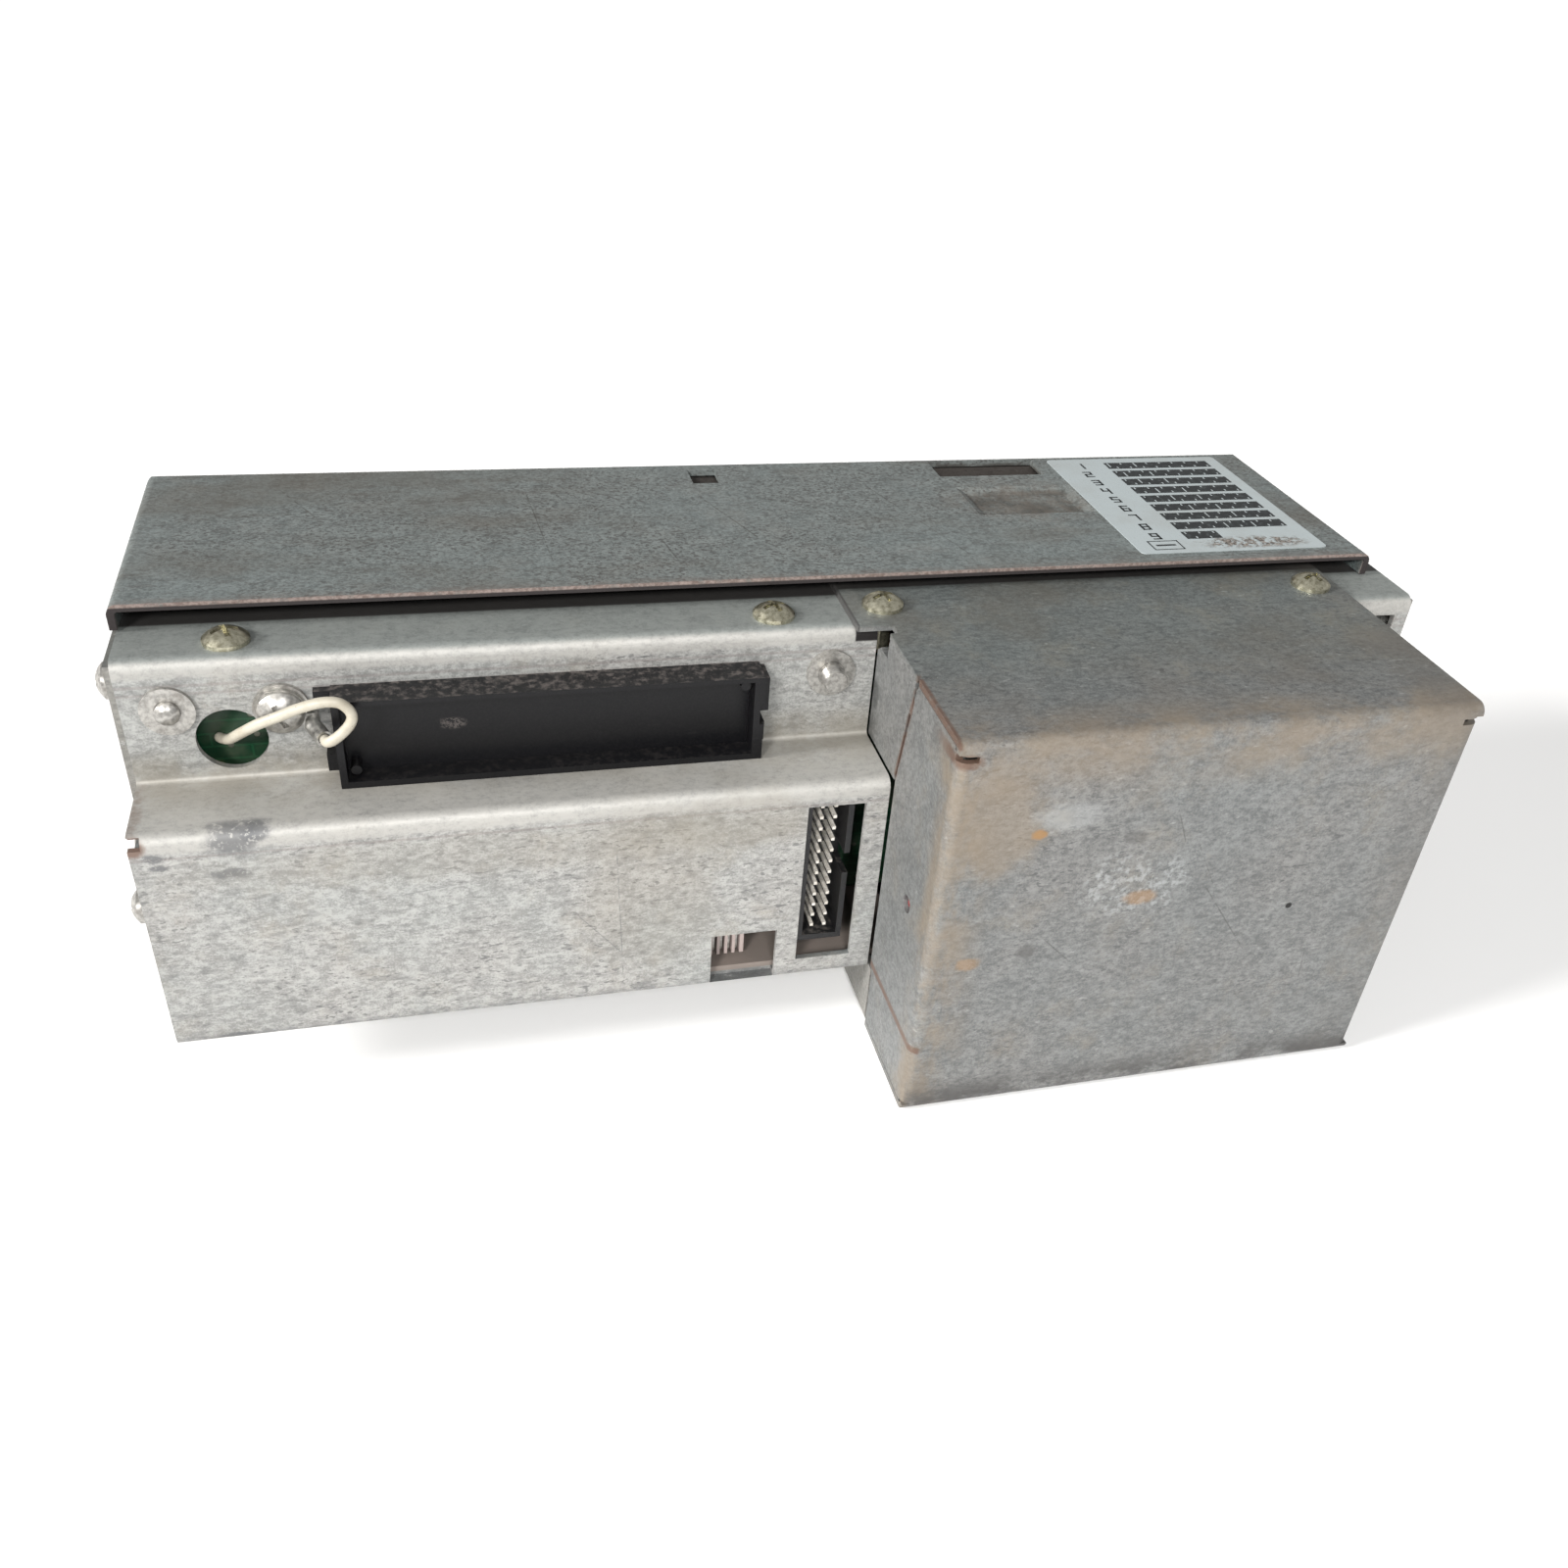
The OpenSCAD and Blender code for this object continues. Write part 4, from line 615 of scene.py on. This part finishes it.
def boxMarks(f, axes, colour, rough, height):
    # rust film along the front's upper and left bends, oxide bloom, orange spots, a dark foot, scratches,
    # painted shade on the top and behind the cover's edge
    wear = boxWear
    onFront = step(axes, *wear["onFront"])
    nearFront = step(axes, *wear["nearFront"])
    top = step(axes, *wear["upFront"]) * step(axes, *wear["belowTop"]) * nearFront
    top = top * f.clouds(*wear["frontClouds"], stretch=(0.6, 1.0, 1.0), offset=(0.2, 0.0, 0.4))
    colour = tint(f, colour, top, *wear["tanFilm"])
    left = step(axes, *wear["toLeft"]) * step(axes, *wear["leftFront"])
    left = left * f.clouds(*wear["leftClouds"], stretch=(1.0, 1.0, 0.5))
    colour = tint(f, colour, left, *wear["tanFilm"])
    corner = facePatch(f, axes, frontFace, *wear["cornerAt"]) * onFront
    colour = tint(f, colour, corner, *wear["tanCorner"])
    brown = step(axes, *wear["onTop"]) * f.clouds(*wear["topClouds"], offset=(0.5, 0.2, 0.0))
    colour = tint(f, colour, brown, *wear["topBrown"])
    # painted shade and sky tint: the top of the box is darkened and cooled
    shadedTop = step(axes, *wear["overTop"]) * step(axes, *wear["toBack"])
    colour = tint(f, colour, shadedTop, *wear["topFaceShade"], "MULTIPLY")
    # painted shade with some grime: a dark band behind the cover's front edge
    colour = tint(f, colour, step(axes, *wear["atCover"]), *wear["shadeAndGrimeUnderCover"])
    colour = tint(f, colour, step(axes, *wear["atFlapEdge"]), *wear["flapEdge"])
    foot = step(axes, *wear["atFoot"]) * f.clouds(*wear["footClouds"], stretch=(0.5, 1.0, 1.0))
    colour = tint(f, colour, foot * onFront, *wear["foot"])
    right = step(axes, *wear["toRight"]) * f.clouds(*wear["rightClouds"])
    colour = tint(f, colour, right, *wear["rightBrown"])
    bloom = facePatch(f, axes, frontFace, *wear["bloomAt"]) * f.clouds(*wear["bloomGrain"]) * onFront
    colour = tint(f, colour, bloom, *wear["bloom"])
    height = height + bloom * wear["bloomHeight"]
    for *area, tone, amount in wear["spots"]:
        mask = facePatch(f, axes, frontFace, *area) * onFront
        colour = tint(f, colour, mask, wear["spotTones"][tone], amount)
    pitX, pitZ = facePoint(frontFace, wear["pitAt"])
    outer, inner = (radius * millimetre for radius in wear["pitEdge"])
    fromPitX, fromPitZ = axes[0] - pitX, axes[2] - pitZ
    pit = ((fromPitX * fromPitX + fromPitZ * fromPitZ) ** 0.5).ramp(outer, inner) * onFront
    colour = f.mix(pit, colour, wear["pit"])
    height = height - pit * wear["pitHeight"]
    for scratch in wear["scratches"]:
        line = faceStroke(f, axes, frontFace, *scratch) * onFront
        colour = tint(f, colour, line, *wear["scratch"])
    # rusty cut edges: the seam by the front's left bend, the top's rim, the corner slot and the lower fold
    onLeft = step(axes, *wear["onLeft"])
    seam = faceStroke(f, axes, leftFace, *wear["seam"]) * onLeft
    rim = step(axes, *wear["leftEdge"]) * step(axes, *wear["topEdge"]) * step(axes, *wear["edgeFrom"])
    slot = facePatch(f, axes, frontFace, *wear["slotAt"]) * nearFront
    foldHeight, half, soft = wear["lowFold"]
    fold = f.band(axes[2], foldHeight * millimetre, half, soft) * onLeft
    patchy = f.clouds(*wear["rustGrain"]) * wear["rustShare"] + wear["rustLeast"]
    colour = tint(f, colour, seam.larger(rim).larger(slot).larger(fold) * patchy, *wear["rust"])
    return colour, rough + foot * wear["footRough"], height


plated = {"soilAmount": 0.6, "metal": 0.9, "rough": 0.25}
fasteners = {
    "goldScrew": dict(plated, dull=(0.33, 0.31, 0.22), bright=(0.60, 0.575, 0.45), soil=(0.16, 0.145, 0.10),
                      soilAmount=0.35, rough=0.2),
    "brightSteel": dict(plated, dull=(0.29, 0.28, 0.262), bright=(0.52, 0.505, 0.475),
                        soil=(0.15, 0.13, 0.11), metal=0.8),
    "tinnedCopper": dict(plated, dull=(0.30, 0.295, 0.28), bright=(0.52, 0.51, 0.48), soil=(0.14, 0.12, 0.09),
                         rough=0.28),
    "brassPost": dict(plated, dull=(0.45, 0.34, 0.16), bright=(0.72, 0.58, 0.32), soil=(0.18, 0.13, 0.07),
                      soilAmount=0.5),
    "pinMetal": dict(plated, dull=(0.60, 0.56, 0.49), bright=(0.85, 0.82, 0.76), soil=(0.36, 0.32, 0.27),
                     soilAmount=0.3, rough=0.32, metal=0.2),
    "sinkAluminium": dict(plated, dull=(0.52, 0.53, 0.54), bright=(0.74, 0.75, 0.76), soil=(0.30, 0.29, 0.27),
                          soilAmount=0.4, rough=0.3),
}


def boltFinish(name, look):
    # plated metal: brushed in fine clouds, with dirt in places
    f = Finish(name)
    rub = f.noise(0.8, 3.0, 0.6)
    soil = f.clouds(3.4, 2.0, 0.5, 0.50, 0.78)
    colour = f.mix(rub.ramp(0.3, 0.7), look["dull"], look["bright"])
    colour = f.mix(soil * look["soilAmount"], colour, look["soil"])
    return f.shade(**{"Base Color": colour, "Metallic": look["metal"] - soil * 0.4,
                      "Roughness": rub * 0.2 + soil * 0.25 + look["rough"],
                      "Normal": f.bump(rub, 0.015, 0.4)})


plastic = {"dustAmount": 0.5, "scuffAmount": 0.1, "rough": 0.4, "coat": 0.0, "specular": 0.5}
plastics = {
    "bayPlastic": dict(plastic, base=(0.004, 0.004, 0.005), worn=(0.012, 0.0115, 0.012),
                       dust=(0.12, 0.105, 0.098), dustAmount=0.7, scuffAmount=0.03, rough=0.26,
                       specular=0.25, dustAbove=0.0735, smudgeAt=(52, 67.6)),
    "blackPlastic": dict(plastic, base=(0.008, 0.008, 0.009), worn=(0.03, 0.03, 0.03),
                         dust=(0.16, 0.145, 0.13), scuffAmount=0.2, rough=0.38),
    "greyPlastic": dict(plastic, base=(0.40, 0.33, 0.31), worn=(0.50, 0.42, 0.39), dust=(0.52, 0.46, 0.42),
                        scuffAmount=0.2, rough=0.5),
    "chipEpoxy": dict(plastic, base=(0.014, 0.014, 0.014), worn=(0.035, 0.034, 0.033),
                      dust=(0.15, 0.14, 0.12), dustAmount=0.4, rough=0.45),
    "switchRed": dict(plastic, base=(0.30, 0.018, 0.012), worn=(0.42, 0.05, 0.03), dust=(0.34, 0.26, 0.20),
                      dustAmount=0.6),
    "sliderWhite": dict(plastic, base=(0.72, 0.70, 0.64), worn=(0.62, 0.59, 0.52), dust=(0.34, 0.29, 0.23),
                        scuffAmount=0.15),
    "trimmerBlue": dict(plastic, base=(0.012, 0.06, 0.28), worn=(0.03, 0.10, 0.36), dust=(0.28, 0.25, 0.22),
                        dustAmount=0.6, rough=0.35),
    "bobbinPlastic": dict(plastic, base=(0.55, 0.50, 0.38), worn=(0.62, 0.58, 0.47), dust=(0.30, 0.26, 0.20),
                          rough=0.5),
    "relayCase": dict(plastic, base=(0.40, 0.12, 0.02), worn=(0.50, 0.18, 0.05), dust=(0.32, 0.27, 0.22)),
    "capacitorSleeve": dict(plastic, base=(0.018, 0.032, 0.075), worn=(0.03, 0.05, 0.11),
                            dust=(0.24, 0.22, 0.2), rough=0.25, coat=0.2),
    "fuseCeramic": dict(plastic, base=(0.62, 0.63, 0.62), worn=(0.70, 0.70, 0.68), dust=(0.30, 0.27, 0.23),
                        dustAmount=0.4, scuffAmount=0.2, rough=0.25),
}


def mouldedFinish(name, look):
    # moulded plastic: fine texture, dull dust that settles on faces that look up, scuffs
    f = Finish(name)
    axes = f.axes()
    fine = f.noise(0.35, 2.0, 0.5)
    settled = f.facing(2).ramp(0.3, 0.9) * f.clouds(1.4, 5.0, 0.7, 0.45, 0.66)
    if "dustAbove" in look:
        settled = settled * (axes[2].ramp(look["dustAbove"] - 0.0015, look["dustAbove"]) * 0.85 + 0.15)
    scuff = f.clouds(1.0, 3.0, 0.7, 0.64, 0.72, stretch=(0.15, 1.0, 1.0))
    colour = f.mix(fine.ramp(0.35, 0.7) * 0.3, look["base"], look["worn"])
    dulled = (settled * look["dustAmount"]).larger(scuff * look["scuffAmount"])
    colour = f.mix(dulled, colour, look["dust"])
    if "smudgeAt" in look:
        smear = facePatch(f, axes, frontFace, look["smudgeAt"], (2.6, 1.2), 0.8)
        colour = f.mix(smear * f.clouds(0.6, 3.0, 0.7, 0.4, 0.55) * 0.55, colour, look["dust"])
    return f.shade(**{"Base Color": colour,
                      "Roughness": fine * 0.12 + settled * 0.35 + scuff * 0.15 + look["rough"],
                      "Coat Weight": look["coat"], "Specular IOR Level": look["specular"],
                      "Normal": f.bump(fine, 0.03, 0.4)})


layered = {  # pitch in mm
    "coreIron": {"axis": 1, "pitch": 0.5, "groove": (0.05, 0.045, 0.04), "crest": (0.17, 0.16, 0.15),
                 "soil": (0.16, 0.08, 0.045), "metal": 0.6, "rough": 0.5},
    "coilCopper": {"axis": 2, "pitch": 0.7, "groove": (0.10, 0.03, 0.01), "crest": (0.46, 0.17, 0.055),
                   "soil": (0.16, 0.10, 0.06), "metal": 0.7, "rough": 0.28},
}


def layeredFinish(name, look):
    # wound or stacked material: thin layers along one axis with some wandering
    f = Finish(name)
    wander = f.noise(6.0, 2.0, 0.5) * 0.35
    turns = (f.axes()[look["axis"]] / (look["pitch"] * millimetre) + wander) * (2 * math.pi)
    layers = turns.maths("SINE", turns) * 0.5 + 0.5
    soil = f.clouds(5.0, 4.0, 0.65, 0.45, 0.7)
    colour = f.mix(layers, look["groove"], look["crest"])
    colour = f.mix(soil * 0.4, colour, look["soil"])
    return f.shade(**{"Base Color": colour, "Metallic": look["metal"],
                      "Roughness": soil * 0.25 + look["rough"],
                      "Normal": f.bump(layers, look["pitch"] * 0.4, 0.7)})


board = {
    "mask": (0.004, 0.036, 0.016), "track": (0.010, 0.070, 0.030), "pad": (0.30, 0.29, 0.25),
    "soil": (0.10, 0.09, 0.06), "trackWidth": 0.2, "trackLength": 12.7, "trackPitch": 2.54,  # mm
    "padScale": 260.0, "padEdge": (0.2, 0.15), "slant": 0.7,
}


def boardFinish(name):
    # green solder mask over copper tracks, with small tinned pads
    f = Finish(name)
    x, y, z = f.axes()
    plane = f.add("ShaderNodeCombineXYZ", None, {0: x, 1: z + y * board["slant"], 2: 0.0})
    tracks = f.add("ShaderNodeTexBrick", {"offset": 0.5, "squash": 1.0}, {
        "Vector": plane, "Scale": 1.0, "Mortar Size": board["trackWidth"] * millimetre,
        "Brick Width": board["trackLength"] * millimetre,
        "Row Height": board["trackPitch"] * millimetre}, output="Fac")
    cells = f.add("ShaderNodeTexVoronoi", {"feature": "F1"}, {"Vector": f.place, "Scale": board["padScale"]},
                  output="Distance")
    pads = cells.ramp(*board["padEdge"])
    soil = f.clouds(9.0, 4.0, 0.6, 0.4, 0.75)
    colour = f.mix(tracks * 0.7, board["mask"], board["track"])
    colour = f.mix(pads * 0.6, colour, board["pad"])
    colour = f.mix(soil * 0.4, colour, board["soil"])
    return f.shade(**{"Base Color": colour, "Roughness": soil * 0.3 + 0.3, "Metallic": pads * 0.6,
                      "Normal": f.bump(tracks + pads, 0.08, 0.6)})


film = {
    "clean": (0.37, 0.415, 0.425), "soiled": (0.28, 0.285, 0.27), "speck": (0.25, 0.23, 0.20),
    "rubbedDark": (0.055, 0.047, 0.04), "rubbedPale": (0.25, 0.22, 0.195),
    "rubbedAt": ((213, 34.5), (13.0, 3.0)),  # centre and radii, mm
    "ink": (0.010, 0.012, 0.013), "inkWorn": (0.14, 0.16, 0.165),
}


def labelFinish(name):
    # printed film gone dull, soiled at its rim, with a patch rubbed through at the front
    f = Finish(name)
    fine = f.noise(0.7, 3.0, 0.6)
    rubbed = facePatch(f, f.axes(), topFace, *film["rubbedAt"], 1.0) * f.clouds(1.5, 4.0, 0.7, 0.42, 0.54)
    soil = f.clouds(14.0, 5.0, 0.65, 0.42, 0.75)
    colour = f.mix(soil * 0.45, film["clean"], film["soiled"])
    colour = f.mix(fine.ramp(0.62, 0.72) * 0.35, colour, film["speck"])
    under = f.mix(fine.ramp(0.35, 0.65), film["rubbedDark"], film["rubbedPale"])
    colour = f.mix(rubbed, colour, under)
    return f.shade(**{"Base Color": colour, "Roughness": soil * 0.15 + rubbed * 0.2 + 0.42,
                      "Normal": f.bump(fine - rubbed * 2, 0.05, 0.5)})


def inkFinish(name):
    # dark print, worn in small clouds
    f = Finish(name)
    wear = f.clouds(1.2, 4.0, 0.65, 0.5, 0.68)
    colour = f.mix(wear * 0.25, film["ink"], film["inkWorn"])
    return f.shade(**{"Base Color": colour, "Roughness": wear * 0.2 + 0.45,
                      "Normal": f.bump(wear, 0.01, 0.4)})


lens = {"deep": (0.16, 0.008, 0.01), "cloudy": (0.30, 0.03, 0.03), "coat": 0.3}


def lensFinish(name):
    # red moulded lens with faint clouds
    f = Finish(name)
    cloud = f.noise(0.9, 3.0, 0.6)
    colour = f.mix(cloud.ramp(0.35, 0.7), lens["deep"], lens["cloudy"])
    return f.shade(**{"Base Color": colour, "Roughness": cloud * 0.15 + 0.2, "Coat Weight": lens["coat"],
                      "Normal": f.bump(cloud, 0.03, 0.3)})


sheetMarks = {"zincSheet": shellMarks, "coverSheet": coverMarks, "boxSheet": boxMarks}
finishes = {name: sheetFinish(name, look, sheetMarks.get(name)) for name, look in sheets.items()}
for make, looks in ((boltFinish, fasteners), (mouldedFinish, plastics), (layeredFinish, layered)):
    finishes.update({name: make(name, look) for name, look in looks.items()})
for make, name in ((boardFinish, "circuitBoard"), (labelFinish, "labelFilm"), (inkFinish, "labelInk"),
                   (lensFinish, "lampLens")):
    finishes[name] = make(name)

painted = {
    "zincSheet": ("front_shell", "right_front_bracket"),
    "coverSheet": ("top_cover",),
    "boxSheet": ("box_cover",),
    "panSheet": ("chassis_pan",),
    "plainSheet": ("left_end_plate", "right_end_plate", "lower_tray", "board_brackets", "core_strap"),
    "railSheet": ("inner_rail",),
    "goldScrew": ("flange_screws",),
    "brightSteel": ("earth_screw", "stud_washers", "earth_studs", "end_screws", "under_screws",
                    "rear_screws", "box_screws", "terminal_screws", "clinch_nuts"),
    "tinnedCopper": ("wire_lug", "socket_contacts"),
    "brassPost": ("board_spacers", "board_pillars"),
    "pinMetal": ("header_pins",),
    "sinkAluminium": ("heat_sink",),
    "bayPlastic": ("option_bay",),
    "blackPlastic": ("header_housing", "terminal_block"),
    "greyPlastic": ("side_socket",),
    "chipEpoxy": ("control_chips", "power_transistors"),
    "switchRed": ("switch_body",),
    "sliderWhite": ("trimmer_rotor", *("slider_%d" % way for way in range(1, 9))),
    "trimmerBlue": ("trimmer_body",),
    "bobbinPlastic": ("coil_bobbin", "fuse_holder"),
    "relayCase": ("relay",),
    "capacitorSleeve": ("bus_capacitors",),
    "fuseCeramic": ("fuse",),
    "coreIron": ("transformer_core",),
    "coilCopper": ("transformer_coil", "filter_choke"),
    "circuitBoard": ("control_board", "power_board", "inverter_board", "setting_board", "lamp_board"),
    "labelFilm": ("rating_label",),
    "lampLens": ("charge_lamp",),
}
for finishName, nodeNames in painted.items():
    for nodeName in nodeNames:
        nodes[nodeName].data.materials.clear()
        nodes[nodeName].data.materials.append(finishes[finishName])
print("stage: finishes on", sum(len(nodeNames) for nodeNames in painted.values()), "nodes")


def makePiece(name, points, faces, finishName, slotName, smooth=False):
    mesh = bpy.data.meshes.new(name)
    mesh.from_pydata(points.tolist(), [], faces)
    mesh.materials.append(finishes[finishName])
    mesh.polygons.foreach_set("use_smooth", np.full(len(mesh.polygons), smooth))
    mesh.update()
    piece = bpy.data.objects.new(name, mesh)
    bpy.context.scene.collection.objects.link(piece)
    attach(piece, "housing")


def blocks(rows):
    # closed boxes from rows of (x0, x1, y0, y1, z0, z1): eight corners and six outward faces each
    rows = np.asarray(rows, float)
    pick = np.array([(i, 2 + j, 4 + k) for k in (0, 1) for j in (0, 1) for i in (0, 1)])
    points = rows[:, pick].reshape(-1, 3)
    faces = np.array([(0, 2, 3, 1), (4, 5, 7, 6), (0, 1, 5, 4), (2, 6, 7, 3), (0, 4, 6, 2), (1, 3, 7, 5)])
    return points, (faces[None] + 8 * np.arange(len(rows))[:, None, None]).reshape(-1, 4).tolist()


label = {  # mm
    "rows": 9, "thick": 0.02, "sink": 0.01, "tickLift": 0.01,
    "firstRow": 2.5, "pitch": 4.75, "stripDepth": 3.5,  # from the back edge
    "stripLeft": 13.0, "stripRight": 38.6, "lastRight": 21.0,
    "teeth": 16, "toothWidth": 0.3, "toothDepth": 0.8, "toothInset": 0.25, "toothRoom": 0.5,
    "longTooth": 2.3, "longStep": 4,
    "figureLeft": 5.6, "figureUp": 0.3, "figureWidth": 2.0, "figureHeight": 3.0, "figureLine": 0.5,
    "markLeft": 3.5, "markUp": 1.4, "markSide": 4.2, "markStretch": 1.6, "markLine": 0.3,
    "markInset": 1.2, "markBar": (0.42, 0.58),
}
# which bars of a seven-bar figure each digit lights: top, upper right, lower right, bottom, lower left,
# upper left, middle
figures = {1: "bc", 2: "abged", 3: "abgcd", 4: "fgbc", 5: "afgcd", 6: "afgedc", 7: "abc", 8: "abcdefg",
           9: "abcdfg"}


def figureBars(digit, left, foot):
    # the lit bars of one digit, upright as seen from the front
    w, h, t = (label[key] * millimetre for key in ("figureWidth", "figureHeight", "figureLine"))
    bars = {
        "a": (left, left + w, foot + h - t, foot + h),
        "b": (left + w - t, left + w, foot + h / 2, foot + h),
        "c": (left + w - t, left + w, foot, foot + h / 2),
        "d": (left, left + w, foot, foot + t),
        "e": (left, left + t, foot, foot + h / 2),
        "f": (left, left + t, foot + h / 2, foot + h),
        "g": (left, left + w, foot + h / 2 - t / 2, foot + h / 2 + t / 2),
    }
    return [bars[bar] for bar in figures[digit]]


def makeLabelPrint():
    # nine numbered rows, each with a dark comb strip, and a plain framed mark below them
    mm = millimetre
    low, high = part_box("rating_label")
    z0, z1 = high.z - label["sink"] * mm, high.z + label["thick"] * mm
    dark, pale = [], []
    step = (label["stripRight"] - label["stripLeft"]) / label["teeth"]
    halfTooth = label["toothWidth"] / 2 * mm
    for row in range(label["rows"]):
        y1 = high.y - (label["firstRow"] + row * label["pitch"]) * mm
        y0 = y1 - label["stripDepth"] * mm
        last = row == label["rows"] - 1
        right = low.x + (label["lastRight"] if last else label["stripRight"]) * mm
        dark.append((low.x + label["stripLeft"] * mm, right, y0, y1))
        for tooth in range(label["teeth"]):
            x = low.x + (label["stripLeft"] + (tooth + 0.5) * step) * mm
            if x + label["toothRoom"] * mm > right:
                continue
            tall = label["longTooth"] if tooth in (row, row + label["longStep"]) else label["toothDepth"]
            atFront = y0 + label["toothInset"] * mm
            atBack = y1 - (label["toothInset"] + tall) * mm
            base = atFront if tooth % 2 else atBack
            pale.append((x - halfTooth, x + halfTooth, base, base + tall * mm))
        dark += figureBars(row + 1, low.x + label["figureLeft"] * mm, y0 + label["figureUp"] * mm)
    # framed mark in the front left corner
    x0, y0, side = low.x + label["markLeft"] * mm, low.y + label["markUp"] * mm, label["markSide"] * mm
    x1, y1, line = x0 + label["markStretch"] * side, y0 + side, label["markLine"] * mm
    inset, (barLow, barHigh) = label["markInset"] * mm, label["markBar"]
    dark += [(x0, x1, y0, y0 + line), (x0, x1, y1 - line, y1),
             (x0, x0 + line, y0, y1), (x1 - line, x1, y0, y1),
             (x0 + inset, x1 - inset, y0 + side * barLow, y0 + side * barHigh)]
    tickTop = z1 + label["tickLift"] * mm
    makePiece("labelPrint", *blocks([(*row, z0, z1) for row in dark]), "labelInk", "label_film")
    makePiece("labelTicks", *blocks([(*row, z0, tickTop) for row in pale]), "labelFilm", "label_film")


thread = {
    "centre": (119.4, 72.2), "start": 12.15, "end": 15.4, "radius": 1.99, "pitch": 0.7, "depth": 0.22,  # mm
    "around": 32, "stepsPerTurn": 12, "leastSteps": 8, "fade": 12,
}


def makeThread():
    # helical ridge: radius + depth * triangle wave of (turn / full turn - length / pitch), faded at both ends
    radius, pitch, depth = (thread[key] * millimetre for key in ("radius", "pitch", "depth"))
    centreX, centreZ = facePoint(frontFace, thread["centre"])
    y0, y1 = fromFront(thread["start"]), fromFront(thread["end"])
    around = thread["around"]
    along = max(thread["leastSteps"], int(abs(y1 - y0) / pitch * thread["stepsPerTurn"]))
    turn = np.linspace(0, 2 * math.pi, around, endpoint=False)[None, :]
    length = np.linspace(0, 1, along)[:, None]
    phase = (turn / (2 * math.pi) - length * (y1 - y0) / pitch) % 1.0
    ridge = depth * (1 - np.abs(2 * phase - 1))
    r = radius + ridge * np.clip(thread["fade"] * np.minimum(length, 1 - length), 0, 1)
    y = y0 + length * (y1 - y0) + 0 * turn
    points = np.stack([centreX + r * np.cos(turn), y, centreZ + r * np.sin(turn)], -1).reshape(-1, 3)
    index = np.arange(around * along).reshape(along, around)
    a, b = index[:-1], index[1:]
    side = np.stack([a, np.roll(a, -1, 1), np.roll(b, -1, 1), b], -1).reshape(-1, 4)
    # each end is closed by a fan of triangles round its centre
    first, last = index[0], index[-1]
    centre = np.full(around, len(points))
    front = np.stack([centre, np.roll(first, -1), first], -1)
    back = np.stack([centre + 1, last, np.roll(last, -1)], -1)
    ends = np.array([[centreX, y0, centreZ], [centreX, y1, centreZ]])
    faces = side.tolist() + front.tolist() + back.tolist()
    makePiece("studThread", np.vstack([points, ends]), faces, "brightSteel", "bright_steel", smooth=True)


makeLabelPrint()
makeThread()
print("stage: label print and stud thread")

floorLook = {
    "size": 12.0, "drop": 0.0001, "dull": (0.955, 0.955, 0.955), "pale": (0.965, 0.965, 0.965),
    "pattern": (300.0, 2.0, 0.5, 0.3, 0.7), "rough": 0.9, "specular": 0.1,
}


def makeFloor():
    half = floorLook["size"] / 2
    mesh = bpy.data.meshes.new("floor")
    corners = [(-half, -half, 0), (half, -half, 0), (half, half, 0), (-half, half, 0)]
    mesh.from_pydata(corners, [], [(0, 1, 2, 3)])
    floor = bpy.data.objects.new("floor", mesh)
    floor.location.z = -floorLook["drop"]
    bpy.context.scene.collection.objects.link(floor)
    f = Finish("floorPaper")
    colour = f.mix(f.clouds(*floorLook["pattern"]), floorLook["dull"], floorLook["pale"])
    mesh.materials.append(f.shade(**{"Base Color": colour, "Roughness": floorLook["rough"],
                                     "Specular IOR Level": floorLook["specular"]}))


makeFloor()
